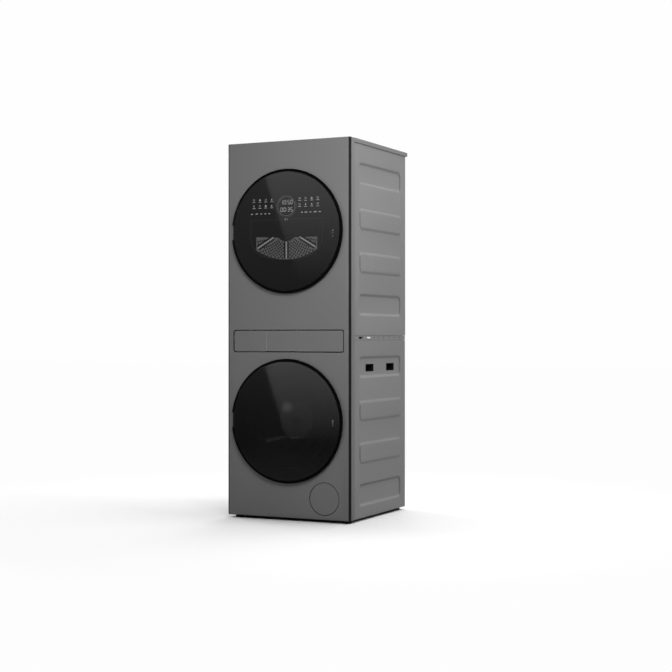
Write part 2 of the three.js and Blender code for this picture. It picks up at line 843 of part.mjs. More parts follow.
function frontBulkhead() {
  const plate = box([-284, 284], [-262, -258], [980, 1520]);
  const hole = cylinderY(196, [-300, -200], 0, DRYER_Z, MEDIUM);
  const collar = turnedY(closeLoop([
    [196, -260],
    [214, -260],
    [214, -238],
    [211, -238],
    [211, -256],
    [196, -256],
  ]), 0, DRYER_Z, MEDIUM);
  const pocket = box([-106, 106], [-292, -261], [950, 1050]);
  const well = box([-102, 102], [-289, -266], [954, 1060]);
  return cut(join(cut(plate, hole), collar, pocket), well);
}

function rearBulkhead() {
  const plate = box([-284, 284], [204, 208], [960, 1540]);
  const bearing = turnedY(closeLoop([[13.2, 196], [24, 196], [24, 216], [13.2, 216]]), 0, DRYER_Z, 24);
  const bore = cylinderY(20, [190, 230], 0, DRYER_Z, 24);
  const inlets = [-1, 1].map((side) => box([side * 60, side * 160], [190, 230], [1090, 1150]));
  return join(cut(plate, bore, ...inlets), bearing);
}

function dryerDrum() {
  const shell = drumShell(DRYER_Z, DRYER_DRUM_RADIUS, [-236, 172], 222);
  const shaft = cylinderY(12.5, [171, 214], 0, DRYER_Z, 24);
  const ribs = [0, 1, 2].map((i) => (
    lifter(DRYER_Z, DRYER_DRUM_RADIUS - 2.5, 20, [-215, 165], 42, Math.PI * (0.5 + (2 * i) / 3))
  ));
  return join(shell, shaft, ...ribs);
}

// A finned coil block: slots between the fins are open at the front.
function finnedBlock(xRange, [y0, y1], zRange, slots) {
  const pitch = (xRange[1] - xRange[0]) / slots;
  const cuts = Array.from({ length: slots }, (_, i) => {
    const left = xRange[0] + pitch * (i + 0.3);
    return box([left, left + pitch * 0.5], [y0 - 5, y1 - 12], [zRange[0] + 8, zRange[1] + 5]);
  });
  return cut(box(xRange, [y0, y1], zRange), ...cuts);
}

// Belt pulley, through shaft and fan wheel: the dryer motor turns them as one.
function blowerRotor(x, z) {
  const hub = turnedY([
    [0, -48],
    [7, -48],
    [7, -46],
    [MOTOR_PULLEY_RADIUS, -46],
    [MOTOR_PULLEY_RADIUS, -24],
    [6, -24],
    [6, 120 + GAP],
    [72, 120 + GAP],
    [72, 124],
    [16, 124],
    [12, 150],
    [0, 150],
  ], x, z, 24);
  const blades = [];
  const count = 8;
  for (let i = 0; i < count; i += 1) {
    const blade = new THREE.BoxGeometry(34, 40, 3);
    blade.translate(52, 143, 0);
    blade.rotateY((i / count) * Math.PI * 2);
    blade.translate(x, 0, z);
    blades.push(solid(blade));
  }
  return join(hub, ...blades);
}

function buildDryer() {
  part('dryer_front_bulkhead', zincSteel, frontBulkhead());
  part('dryer_rear_bulkhead', zincSteel, rearBulkhead());
  part('dryer_drum', stainless, dryerDrum());
  const [x, z] = [DRYER_MOTOR_X, DRYER_MOTOR_Z];
  const motor = cylinderY(48, [-20, 120], x, z, 24);
  part('dryer_motor', blackEnamel, cut(motor, cylinderY(6.4, [-30, 130], x, z, 24)));
  part('blower_rotor', greyPlastic, blowerRotor(x, z));
  part('dryer_belt', blackRubber, belt(
    { x: 0, z: DRYER_Z, r: DRYER_DRUM_RADIUS },
    { x, z, r: MOTOR_PULLEY_RADIUS },
    [-40, -30],
  ));
  part('compressor', blackEnamel, turnedZ([
    [0, 800],
    [72, 800],
    [76, 812],
    [76, 920],
    [50, 945],
    [0, 952],
  ], -175, 170, 24));
  part('evaporator', finAluminium, finnedBlock([-240, 40], [-210, -120], [800, 940], 14));
  part('condenser', finAluminium, finnedBlock([-240, 40], [-90, 20], [800, 940], 14));
  const filter = box([-99, 99], [-286.5, -268.5], [955, 1050]);
  const bag = box([-95, 95], [-284.5, -270.5], [959, 1060]);
  const lip = box([-40, 40], [-286.5, -284.5], [1049, 1062]);
  part('lint_filter', greyPlastic, join(cut(filter, bag), lip));
}

buildCasing();
buildDrawer();
buildWasher();
buildDrain();
buildDoors();
buildDryer();

export default stack;
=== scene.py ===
import bmesh
import bpy
import json
import math
import random
from mathutils import Matrix, Vector


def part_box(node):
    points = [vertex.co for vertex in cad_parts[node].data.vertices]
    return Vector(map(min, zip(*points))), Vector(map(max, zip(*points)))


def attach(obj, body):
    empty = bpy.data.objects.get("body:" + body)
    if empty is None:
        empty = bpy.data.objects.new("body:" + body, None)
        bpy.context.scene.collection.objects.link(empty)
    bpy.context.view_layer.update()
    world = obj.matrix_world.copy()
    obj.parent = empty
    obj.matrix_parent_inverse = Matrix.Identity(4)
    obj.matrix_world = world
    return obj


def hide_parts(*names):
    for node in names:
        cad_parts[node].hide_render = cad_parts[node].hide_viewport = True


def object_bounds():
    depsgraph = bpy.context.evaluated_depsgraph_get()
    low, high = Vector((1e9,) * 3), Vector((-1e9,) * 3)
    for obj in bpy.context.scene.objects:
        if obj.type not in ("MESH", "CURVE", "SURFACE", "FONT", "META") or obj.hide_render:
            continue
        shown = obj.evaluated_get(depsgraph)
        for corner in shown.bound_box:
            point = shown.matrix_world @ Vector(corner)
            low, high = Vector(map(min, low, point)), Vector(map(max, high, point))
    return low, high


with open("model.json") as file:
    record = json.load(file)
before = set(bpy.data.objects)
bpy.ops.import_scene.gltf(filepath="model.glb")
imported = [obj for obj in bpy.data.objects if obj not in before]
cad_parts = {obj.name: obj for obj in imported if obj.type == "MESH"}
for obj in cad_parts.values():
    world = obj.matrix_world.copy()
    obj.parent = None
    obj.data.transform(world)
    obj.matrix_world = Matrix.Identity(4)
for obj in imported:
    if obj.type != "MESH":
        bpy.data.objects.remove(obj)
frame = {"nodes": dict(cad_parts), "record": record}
cad_low, cad_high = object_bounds()

# Looks of the stacked washer and dryer. Metres, +Z up, front towards -Y.

# ---- places taken from the frame ----


def middle(node):
    low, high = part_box(node)
    return (low + high) / 2


def half_size(node):
    low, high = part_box(node)
    return (high - low) / 2


PANEL_LOW, PANEL_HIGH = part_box("front_panel")
FRONT = PANEL_LOW.y
HALF = PANEL_HIGH.x
WASHER = middle("washer_door_glass")
DRYER = middle("dryer_door_glass")
GLASS_RADIUS = half_size("dryer_door_glass").x
RING_RADIUS = half_size("dryer_door_ring").z
GLASS_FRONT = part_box("dryer_door_glass")[0].y
GLASS_FACE = GLASS_FRONT + 0.00005
GLASS_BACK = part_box("dryer_door_glass")[1].y
RING_BACK = FRONT - 0.002
FLAP = middle("filter_flap")
FLAP_RADIUS = half_size("filter_flap").x
BAND_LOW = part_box("drawer_front")[0]
BAND_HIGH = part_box("dispenser_fascia")[1]
HINGE_X = -0.263
HINGE_Y = -0.3085

SHEET = 0.0012
CORNER = 0.012
GROOVE = 0.004

# ---- mesh helpers ----


def link(name, mesh):
    obj = bpy.data.objects.new(name, mesh)
    bpy.context.scene.collection.objects.link(obj)
    return obj


def from_bmesh(name, bm):
    bmesh.ops.recalc_face_normals(bm, faces=bm.faces)
    mesh = bpy.data.meshes.new(name)
    bm.to_mesh(mesh)
    bm.free()
    return link(name, mesh)


def smooth(obj, degrees=32):
    obj.data.shade_smooth()
    obj.data.set_sharp_from_angle(angle=math.radians(degrees))
    return obj


def settle(obj):
    """Applies the object's modifiers to its mesh."""
    graph = bpy.context.evaluated_depsgraph_get()
    mesh = bpy.data.meshes.new_from_object(obj.evaluated_get(graph))
    obj.modifiers.clear()
    old = obj.data
    obj.data = mesh
    bpy.data.meshes.remove(old)
    return obj


def combine(obj, tools, operation):
    for tool in tools:
        modifier = obj.modifiers.new("combine", "BOOLEAN")
        modifier.operation = operation
        modifier.solver = "EXACT"
        modifier.object = tool
    settle(obj)
    for tool in tools:
        bpy.data.objects.remove(tool)
    return obj


def carve(obj, *tools):
    return combine(obj, tools, "DIFFERENCE")


def weld(obj, *tools):
    return combine(obj, tools, "UNION")


def soften(obj, width, segments=2, degrees=30):
    """Rounds every edge that is sharper than the angle."""
    modifier = obj.modifiers.new("soften", "BEVEL")
    modifier.width = width
    modifier.segments = segments
    modifier.limit_method = "ANGLE"
    modifier.angle_limit = math.radians(degrees)
    modifier.harden_normals = True
    modifier.miter_outer = "MITER_ARC"
    obj.data.shade_smooth()
    return obj


def thicken(obj, thickness, offset=0):
    """Gives a bare sheet its thickness."""
    modifier = obj.modifiers.new("thick", "SOLIDIFY")
    modifier.thickness = thickness
    modifier.offset = offset
    return settle(obj)


def fillet(points, radius, closed=True, steps=4):
    """Rounds the corners of an outline; radius may be one number or one for each corner."""
    count = len(points)
    radii = radius if isinstance(radius, (list, tuple)) else [radius] * count
    out = []
    for i, point in enumerate(points):
        here = Vector(point)
        if radii[i] <= 0 or (not closed and i in (0, count - 1)):
            out.append(here)
            continue
        before = Vector(points[i - 1]) - here
        after = Vector(points[(i + 1) % count]) - here
        turn = before.angle(after)
        reach = min(radii[i] / math.tan(turn / 2), before.length * 0.49, after.length * 0.49)
        start = here + before.normalized() * reach
        end = here + after.normalized() * reach
        for k in range(steps + 1):
            t = k / steps
            out.append(start * (1 - t) ** 2 + here * (2 * t * (1 - t)) + end * t * t)
    return out


def turned(name, profile, z, segments=128, x=0.0, closed=True):
    """Turns a profile of (radius, y) about an axis along Y at x and z."""
    bm = bmesh.new()
    rings = []
    for radius, y in profile:
        points = [(x, z)] if radius < 1e-6 else circle(x, z, radius, segments)
        rings.append([bm.verts.new((a, y, b)) for a, b in points])
    pairs = list(zip(rings, rings[1:]))
    if closed:
        pairs.append((rings[-1], rings[0]))
    for low, high in pairs:
        if len(low) == 1 and len(high) == 1:
            continue
        for k in range(segments):
            n = (k + 1) % segments
            corners = [low[k % len(low)], low[n % len(low)], high[n % len(high)], high[k % len(high)]]
            bm.faces.new(list(dict.fromkeys(corners)))
    return smooth(from_bmesh(name, bm))


def turned_solid(name, profile, z, segments=128, x=0.0):
    """The same for a profile that starts and ends on the axis."""
    return turned(name, profile, z, segments, x, closed=False)


def turned_up(name, profile, x, y, segments=64):
    """Turns a profile of (radius, z) about a vertical axis."""
    obj = turned_solid(name, profile, 0, segments)
    obj.data.transform(Matrix.Rotation(math.radians(90), 4, "X"))
    obj.data.transform(Matrix.Translation((x, y, 0)))
    return obj


def prism(name, outline, low, high, axis="Y"):
    """Extrudes an outline along an axis. Outline axes are X Z, Y Z or X Y in that order."""
    place = {
        "Y": lambda a, b, c: (a, c, b),
        "X": lambda a, b, c: (c, a, b),
        "Z": lambda a, b, c: (a, b, c),
    }[axis]
    bm = bmesh.new()
    bottom = [bm.verts.new(place(p[0], p[1], low)) for p in outline]
    top = [bm.verts.new(place(p[0], p[1], high)) for p in outline]
    bm.faces.new(bottom)
    bm.faces.new(top)
    for k in range(len(outline)):
        n = (k + 1) % len(outline)
        bm.faces.new((bottom[k], bottom[n], top[n], top[k]))
    return from_bmesh(name, bm)


def block(name, low, high):
    return prism(name, rectangle(low[0], high[0], low[2], high[2]), low[1], high[1])


def mirrored(side, a, b):
    """Two distances from the middle plane as a span on the left (-1) or right (1) side."""
    return sorted((side * a, side * b))


def side_block(name, side, x, y, z):
    """A block on one side, from its spans along the axes."""
    across = mirrored(side, *x)
    return block(name, (across[0], y[0], z[0]), (across[1], y[1], z[1]))


def rectangle(x0, x1, z0, z1):
    return [(x0, z0), (x1, z0), (x1, z1), (x0, z1)]


def rounded(x0, x1, z0, z1, radius, steps=4):
    return fillet(rectangle(x0, x1, z0, z1), radius, steps=steps)


def circle(x, z, radius, steps=64):
    turn = 2 * math.pi / steps
    return [(x + radius * math.cos(k * turn), z + radius * math.sin(k * turn)) for k in range(steps)]


def rod_y(name, x, z, radius, low, high, steps=96):
    return prism(name, circle(x, z, radius, steps), low, high)


def pierced_plate(name, outline, holes, low, high, axis="Y"):
    """A flat plate with any number of holes, between two depths along an axis."""
    curve = bpy.data.curves.new(name, "CURVE")
    curve.dimensions = "2D"
    curve.fill_mode = "BOTH"
    curve.extrude = abs(high - low) / 2
    for loop in [outline, *holes]:
        spline = curve.splines.new("POLY")
        spline.points.add(len(loop) - 1)
        for point, (a, b) in zip(spline.points, loop):
            point.co = (a, b, 0, 1)
        spline.use_cyclic_u = True
    holder = bpy.data.objects.new(name, curve)
    bpy.context.scene.collection.objects.link(holder)
    graph = bpy.context.evaluated_depsgraph_get()
    mesh = bpy.data.meshes.new_from_object(holder.evaluated_get(graph))
    bpy.data.objects.remove(holder)
    centre = (low + high) / 2
    if axis == "Y":
        turn = Matrix(((1, 0, 0, 0), (0, 0, -1, centre), (0, 1, 0, 0), (0, 0, 0, 1)))
    else:
        turn = Matrix(((0, 0, 1, centre), (1, 0, 0, 0), (0, 1, 0, 0), (0, 0, 0, 1)))
    mesh.transform(turn)
    bm = bmesh.new()
    bm.from_mesh(mesh)
    bmesh.ops.remove_doubles(bm, verts=bm.verts, dist=1e-6)
    bpy.data.meshes.remove(mesh)
    return from_bmesh(name, bm)


def join_meshes(name, objects):
    """Puts separate solids into one object."""
    bm = bmesh.new()
    for obj in objects:
        bm.from_mesh(obj.data)
        bpy.data.objects.remove(obj)
    return from_bmesh(name, bm)


def piece(obj, body, slot, *nodes, look=None):
    """Gives a finished object the material of its slot, or the look given, puts it on its body and hides the
    CAD nodes it stands for.
    """
    obj.data.materials.clear()
    obj.data.materials.append(look or MATERIALS[slot])
    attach(obj, body)
    if nodes:
        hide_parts(*nodes)
    return obj


def is_flank(face):
    """True on faces that don't look to the front or the rear."""
    return abs(face.normal.y) < 0.6


def shade_faces(obj, material, test):
    """Gives the faces that pass the test a second material."""
    obj.data.materials.append(material)
    index = len(obj.data.materials) - 1
    for face in obj.data.polygons:
        if test(face):
            face.material_index = index


# ---- materials ----


def add_node(tree, kind, inputs=(), **settings):
    """A new shader node with its settings made and values put on its inputs."""
    node = tree.nodes.new("ShaderNode" + kind)
    for key, value in settings.items():
        setattr(node, key, value)
    for key, value in dict(inputs).items():
        node.inputs[key].default_value = value
    return node


def wire(tree, *links):
    """Each link names a node, its output, the next node and its input."""
    for start, output, end, entry in links:
        tree.links.new(start.outputs[output], end.inputs[entry])


def shader(name, color, roughness, metallic=0.0, **inputs):
    material = bpy.data.materials.new(name)
    material.use_nodes = True
    surface = material.node_tree.nodes["Principled BSDF"]
    surface.inputs["Base Color"].default_value = (*color, 1)
    surface.inputs["Roughness"].default_value = roughness
    surface.inputs["Metallic"].default_value = metallic
    for key, value in inputs.items():
        surface.inputs[key.replace("_", " ")].default_value = value
    return material, material.node_tree, surface


def noise(tree, scale, detail=4.0, stretch=(1, 1, 1)):
    """Noise in object coordinates, stretched along the axes."""
    place = add_node(tree, "TexCoord")
    mapping = add_node(tree, "Mapping", {"Scale": stretch})
    texture = add_node(tree, "TexNoise", {"Scale": scale, "Detail": detail})
    wire(tree, (place, "Object", mapping, "Vector"), (mapping, "Vector", texture, "Vector"))
    return texture.outputs["Fac"]


def ramp(tree, source, low, high):
    """Maps the middle part of 0..1 onto a range of numbers."""
    node = add_node(tree, "MapRange", {"From Min": 0.3, "From Max": 0.7, "To Min": low, "To Max": high})
    tree.links.new(source, node.inputs["Value"])
    return node.outputs["Result"]


def vary_color(tree, surface, source, color, dark, light):
    """Mixes a darker and a lighter shade of the color by the source."""
    shades = {"A": (*scaled(color, dark), 1), "B": (*scaled(color, light), 1)}
    node = add_node(tree, "Mix", shades, data_type="RGBA")
    tree.links.new(source, node.inputs["Factor"])
    wire(tree, (node, "Result", surface, "Base Color"))


def vary_roughness(tree, surface, source, low, high):
    tree.links.new(ramp(tree, source, low, high), surface.inputs["Roughness"])


def bump(tree, surface, source, strength, distance):
    node = add_node(tree, "Bump", {"Strength": strength, "Distance": distance})
    tree.links.new(source, node.inputs["Height"])
    wire(tree, (node, "Normal", surface, "Normal"))


def scaled(color, factor):
    return tuple(min(1.0, c * factor) for c in color)


def painted(name, color, roughness, metallic, grain=0.25):
    """Satin metallic paint: fine flake, slow tone drift and a faint orange-peel bump."""
    material, tree, surface = shader(name, color, roughness, metallic)
    flake = noise(tree, 2600, 2)
    drift = noise(tree, 3.5, 3)
    vary_color(tree, surface, flake, color, 0.93, 1.07)
    vary_roughness(tree, surface, drift, roughness - 0.03, roughness + 0.04)
    bump(tree, surface, noise(tree, 900, 2), grain, 0.00004)
    return material


def moulded(name, color, roughness, texture=700, depth=0.00006, specular=0.5):
    """Moulded plastic or rubber with a fine spark-eroded grain."""
    material, tree, surface = shader(name, color, roughness, Specular_IOR_Level=specular)
    vary_color(tree, surface, noise(tree, 14, 4), color, 0.9, 1.1)
    vary_roughness(tree, surface, noise(tree, 60, 5), roughness - 0.05, roughness + 0.06)
    bump(tree, surface, noise(tree, texture, 3), 0.35, depth)
    return material


def brushed(name, color, roughness, stretch=(4, 160, 160)):
    """Metal with brush lines along one axis."""
    material, tree, surface = shader(name, color, roughness, 1.0)
    lines = noise(tree, 12, 6, stretch)
    vary_color(tree, surface, lines, color, 0.82, 1.1)
    vary_roughness(tree, surface, lines, roughness - 0.08, roughness + 0.1)
    bump(tree, surface, lines, 0.2, 0.00005)
    return material


def spangled(name, color):
    """Zinc-coated sheet: cells of slightly different grey."""
    material, tree, surface = shader(name, color, 0.45, 0.9)
    place = add_node(tree, "TexCoord")
    cells = add_node(tree, "TexVoronoi", {"Scale": 90})
    tone = add_node(tree, "SeparateColor")
    wire(tree, (place, "Object", cells, "Vector"), (cells, "Color", tone, "Color"))
    vary_color(tree, surface, tone.outputs["Red"], color, 0.86, 1.06)
    vary_roughness(tree, surface, tone.outputs["Green"], 0.38, 0.52)
    return material


def cast(name, color):
    """Rough cast iron."""
    material, tree, surface = shader(name, color, 0.7, 0.4)
    vary_color(tree, surface, noise(tree, 40, 8), color, 0.75, 1.2)
    bump(tree, surface, noise(tree, 220, 8), 0.6, 0.0004)
    return material


def glassy(name, color, alpha, roughness=0.03, smear=0.02):
    """Tinted glass that lets part of what is behind show through."""
    material, tree, surface = shader(name, color, roughness, Alpha=alpha, IOR=1.5)
    vary_roughness(tree, surface, noise(tree, 6, 3), roughness, roughness + smear)
    return material


def printed(name, shade, glow):
    """Grey ceramic print, or metal, that glows faintly in its own shade: on the display digits the glow is
    the display's own light, on the other marks and on metal it is painted light.
    """
    color = (shade, shade, shade)
    material, tree, surface = shader(name, color, 0.5, Emission_Color=(*color, 1), Emission_Strength=glow)
    vary_color(tree, surface, noise(tree, 300, 2), color, 0.92, 1)
    return material


MATERIALS = {
    "panel_paint": painted("panel_paint", (0.2, 0.2, 0.2), 0.45, 0.3),
    "side_paint": painted("side_paint", (0.24, 0.24, 0.24), 0.5, 0.25),
    "cover_paint": painted("cover_paint", (0.2, 0.2, 0.2), 0.5, 0.2),
    "black_gloss": moulded("black_gloss", (0.002, 0.002, 0.002), 0.42, 400, 0.00001, 0.03),
    "dark_glass": glassy("dark_glass", (0.005, 0.005, 0.005), 0.72),
    "clear_glass": glassy("clear_glass", (0.05, 0.055, 0.058), 0.28),
    "white_plastic": moulded("white_plastic", (0.7, 0.7, 0.69), 0.45),
    "grey_plastic": moulded("grey_plastic", (0.26, 0.265, 0.27), 0.55),
    "black_plastic": moulded("black_plastic", (0.008, 0.008, 0.008), 0.5, 700, 0.00006, 0.25),
    "gasket_rubber": moulded("gasket_rubber", (0.16, 0.165, 0.17), 0.7, 500, 0.0001),
    "black_rubber": moulded("black_rubber", (0.012, 0.012, 0.012), 0.75, 300, 0.0002),
    "stainless": brushed("stainless", (0.55, 0.56, 0.57), 0.3),
    "zinc_steel": spangled("zinc_steel", (0.42, 0.43, 0.44)),
    "cast_iron": cast("cast_iron", (0.1, 0.1, 0.105)),
    "fin_aluminium": brushed("fin_aluminium", (0.6, 0.61, 0.62), 0.35, (160, 160, 4)),
    "black_enamel": painted("black_enamel", (0.012, 0.012, 0.013), 0.35, 0.1, 0.4),
}
# Near-black painted shade for the round front edges, the walls of openings and the flanks of the band pieces
# and the flap, where the light falls off.
PAINTED_EDGE_SHADE = moulded("painted_edge_shade", (0.012, 0.012, 0.012), 0.6, 700, 0.00002, 0.15)
# Glass print: the grey is the print's own colour, its faint glow is painted light.
PRINT = printed("glass_print", 0.28, 0.09)
PRINT_SOFT = printed("glass_print_soft", 0.22, 0.06)
PRINT_FAINT = printed("glass_print_faint", 0.12, 0.05)
DIGITS = printed("display_digits", 0.36, 0.15)
# Light grey for the strip in the drawer seam: a painted highlight.
SEAM_HIGHLIGHT = moulded("painted_seam_highlight", (0.3, 0.3, 0.3), 0.5)
# The grille's steel glows: painted light.
LIT_STEEL = printed("lit_steel", 0.7, 1.15)
# The grille's ribs glow brightly: painted highlights.
LIT_RIB = printed("lit_rib", 0.8, 2.4)
# Rim of the dryer's window: grey that glows as painted light.
WINDOW_RIM = printed("window_rim", 0.2, 0.6)
# Rings in the washer bowl's floor glow: a painted reflection.
RIDGE = printed("bowl_ridge", 0.16, 0.9)
# Darker copy of the side paint: painted shade on the upright flanks of the pressed pads.
PAINTED_FLANK_SHADE = painted("painted_flank_shade", (0.15, 0.15, 0.15), 0.5, 0.25)
SCREW = brushed("screw_steel", (0.5, 0.5, 0.5), 0.35, (80, 80, 80))

# ---- casing ----


BAND_CORNER = 0.014
RIM_RADIUS = 0.004  # along the top and bottom of the front panel
DOOR_HOLE = 0.2
FLAP_GAP = 0.0022
LOCK_X = 0.232
HINGE_SLOT = (0.0046, 0.0285)  # half width and half height
LOCK_SLOT = (0.007, 0.014)


def band_outline():
    """Opening for the drawer and its fascia, wider than both by the groove."""
    return rounded(BAND_LOW.x - GROOVE, BAND_HIGH.x + GROOVE, BAND_LOW.z - GROOVE, BAND_HIGH.z + GROOVE,
                   BAND_CORNER, 8)


def rounded_shell(name):
    """Box of the front panel with round vertical front edges and small top and bottom radii."""
    bm = bmesh.new()
    bmesh.ops.create_cube(bm, size=1.0)
    place = Matrix.Translation((PANEL_HIGH + PANEL_LOW) / 2)
    stretch = Matrix.Diagonal((*(PANEL_HIGH - PANEL_LOW), 1))
    bmesh.ops.transform(bm, matrix=place @ stretch, verts=bm.verts)

    def lies_at(edge, y):
        return all(abs(v.co.y - y) < 1e-5 for v in edge.verts)

    def keeps(edge, axis):
        return abs(edge.verts[0].co[axis] - edge.verts[1].co[axis]) < 1e-6

    uprights = [e for e in bm.edges if lies_at(e, FRONT) and keeps(e, 0)]
    bmesh.ops.bevel(bm, geom=uprights, offset=CORNER, segments=14, profile=0.5, affect="EDGES")
    rims = [e for e in bm.edges if keeps(e, 2) and not lies_at(e, PANEL_HIGH.y)]
    bmesh.ops.bevel(bm, geom=rims, offset=RIM_RADIUS, segments=4, profile=0.5, affect="EDGES")
    return from_bmesh(name, bm)


def build_front_panel():
    panel = rounded_shell("front_panel_skin")
    low = PANEL_LOW + Vector((SHEET, SHEET, SHEET))
    high = PANEL_HIGH + Vector((-SHEET, 0.02, -SHEET))
    section = [(low.x, high.y), (low.x, low.y), (high.x, low.y), (high.x, high.y)]
    hollow = prism("hollow", fillet(section, [0, CORNER, CORNER, 0], steps=8), low.z, high.z, "Z")
    through = (FRONT - 0.01, FRONT + 0.012)
    tools = [hollow, prism("band", band_outline(), *through),
             rod_y("flap_hole", FLAP.x, FLAP.z, FLAP_RADIUS + FLAP_GAP, *through)]
    for door in (WASHER, DRYER):
        tools.append(rod_y("door_hole", 0, door.z, DOOR_HOLE, *through, steps=128))
        for x, (wide, tall) in ((HINGE_X, HINGE_SLOT), (LOCK_X, LOCK_SLOT)):
            slot = rectangle(x - wide, x + wide, door.z - tall, door.z + tall)
            tools.append(prism("slot", slot, *through))
    carve(panel, *tools)
    soften(panel, 0.0007, 2, 50)
    piece(panel, "cabinet", "panel_paint", "front_panel")
    reach = CORNER * 0.8

    def in_painted_shade(face):
        """True on the round vertical edges and on the walls of the openings, which get painted shade."""
        at = face.center
        on_corner = abs(at.x) > HALF - reach and at.y < FRONT + reach
        in_opening = abs(at.x) < HALF - CORNER and is_flank(face) and at.y < FRONT + 0.004
        return on_corner or (in_opening and PANEL_LOW.z + 0.01 < at.z < PANEL_HIGH.z - 0.01)

    # The round edges and the opening walls get painted shade.
    shade_faces(panel, PAINTED_EDGE_SHADE, in_painted_shade)


SIDE_FACE = 0.296
SIDE_START = FRONT + 0.047  # the side sheets begin behind the front panel
SIDE_TONGUE = HALF - 0.0125
LIP_TOP = 1.62
PAD_Y = (-0.205, 0.249)
PAD_CORNER = 0.03
PAD_BEVEL = 0.016
PAD_BEVEL_Y = 0.01
WASHER_PADS = ((0.061, 0.164, -1), (0.243, 0.343, 1), (0.427, 0.524, 1), (0.615, 0.714, -1))
DRYER_PADS = ((0.884, 0.984, -1), (1.066, 1.164, 1), (1.253, 1.352, 1), (1.45, 1.55, -1))
GRIPS = ((-0.125, -0.039), (0.097, 0.185))
GRIP_Z = (0.644, 0.677)
PAD_STEPS = {1: 0.004, -1: -0.006}
PAD_LOOPS = 8


def pressed_sheet(name, side, y_span, z_span, pads, holes):
    """A side panel: flat sheet with soft-edged pads, thickened inwards."""
    x_face = side * SIDE_FACE
    pad_loops = []
    for low, high, sense in pads:
        loops = []
        for k in range(PAD_LOOPS + 1):
            t = k / PAD_LOOPS
            inset = PAD_BEVEL * t
            rise = PAD_STEPS[sense] * (1 - math.cos(math.pi * t)) / 2
            across = PAD_BEVEL_Y * t
            loop = rounded(PAD_Y[0] + across, PAD_Y[1] - across, low + inset, high - inset,
                           PAD_CORNER - inset * 0.8, 8)
            loops.append((loop, rise))
        pad_loops.append((loops, [h for h in holes if low < h[0][1] < high]))
    flats = [(rectangle(*y_span, *z_span), [loops[0][0] for loops, _ in pad_loops], 0.0)]
    flats += [(loops[-1][0], inner, loops[-1][1]) for loops, inner in pad_loops]
    bm = bmesh.new()
    for edge, inner, rise in flats:
        part = pierced_plate("flat", edge, inner, 0, 0, "X")
        part.data.transform(Matrix.Translation((x_face + side * rise, 0, 0)))
        bm.from_mesh(part.data)
        bpy.data.objects.remove(part)
    for loops, _ in pad_loops:
        rings = []
        for loop, rise in loops:
            rings.append([bm.verts.new((x_face + side * rise, p[0], p[1])) for p in loop])
        for low, high in zip(rings, rings[1:]):
            for k in range(len(low)):
                n = (k + 1) % len(low)
                bm.faces.new((low[k], low[n], high[n], high[k]))
    bmesh.ops.remove_doubles(bm, verts=bm.verts, dist=2e-6)
    bmesh.ops.recalc_face_normals(bm, faces=bm.faces)
    if sum(f.normal.x * f.calc_area() for f in bm.faces) * side < 0:
        bmesh.ops.reverse_faces(bm, faces=bm.faces)
    mesh = bpy.data.meshes.new(name)
    bm.to_mesh(mesh)
    bm.free()
    obj = link(name, mesh)
    smooth(obj, 40)
    return thicken(obj, SHEET, -1)


def on_pad_flank(face):
    """True on the upright flanks of the pressed pads, which get painted shade."""
    near_pad = PAD_Y[0] - 0.001 < face.center.y < PAD_Y[1] + 0.001
    return near_pad and 0.3 < abs(face.normal.y) < 0.95 and abs(face.normal.x) > 0.3


def build_sides():
    for hand, side in (("left", -1), ("right", 1)):
        for machine, pads in (("washer", WASHER_PADS), ("dryer", DRYER_PADS)):
            node = f"{machine}_side_{hand}"
            low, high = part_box(node)
            holes = []
            if machine == "washer":
                holes = [rounded(*span, *GRIP_Z, 0.004) for span in GRIPS]
            sheet = pressed_sheet(f"{node}_skin", side, (SIDE_START, high.y), (low.z, high.z), pads, holes)
            upright = (low.z + 0.001, min(high.z, LIP_TOP))
            end = SIDE_START + SHEET
            lip = side_block("lip", side, (SIDE_TONGUE, SIDE_FACE), (SIDE_START, end), upright)
            tongue = side_block("tongue", side, (SIDE_TONGUE, SIDE_TONGUE + SHEET),
                                (low.y + 0.0005, end), upright)
            whole = join_meshes(f"{node}_panel", [sheet, lip, tongue])
            smooth(whole, 40)
            piece(whole, "cabinet", "side_paint", node)
            # Painted shade on the upright flanks of the pads.
            shade_faces(whole, PAINTED_FLANK_SHADE, on_pad_flank)
        for number, span in enumerate(GRIPS):
            build_grip(side, f"hand_grip_{hand}_{number + 1}", span)
        build_strip(side, hand)


GRIP_FLANGE = 0.003
GRIP_WALL = 0.002
GRIP_DEPTH = 0.034


def build_grip(side, name, span):
    """Moulded black pocket behind a hand-grip hole, with a thin frame in front."""
    face = SIDE_FACE + PAD_STEPS[-1]

    def hole(grow, radius):
        return rounded(span[0] - grow, span[1] + grow, GRIP_Z[0] - grow, GRIP_Z[1] + grow, radius)

    depths = mirrored(side, face - GRIP_DEPTH, face - SHEET - 0.0003)
    cup = prism(name, hole(GRIP_FLANGE, 0.006), *depths, "X")
    reach = mirrored(side, face - GRIP_DEPTH + GRIP_FLANGE, face + 0.01)
    carve(cup, prism("pocket", hole(-GRIP_WALL, 0.004), *reach, "X"))
    soften(cup, 0.0008)
    piece(cup, "cabinet", "black_plastic")


STRIP_SLOT = (FRONT + 0.096, FRONT + 0.138, 0.7865, 0.7955)
STRIP_MARKS = (-0.05, -0.01, 0.05, 0.11, 0.17, 0.23)
CLIP_Y = (FRONT + 0.182, FRONT + 0.21)
CLIP_Z = (0.7875, 0.7945)


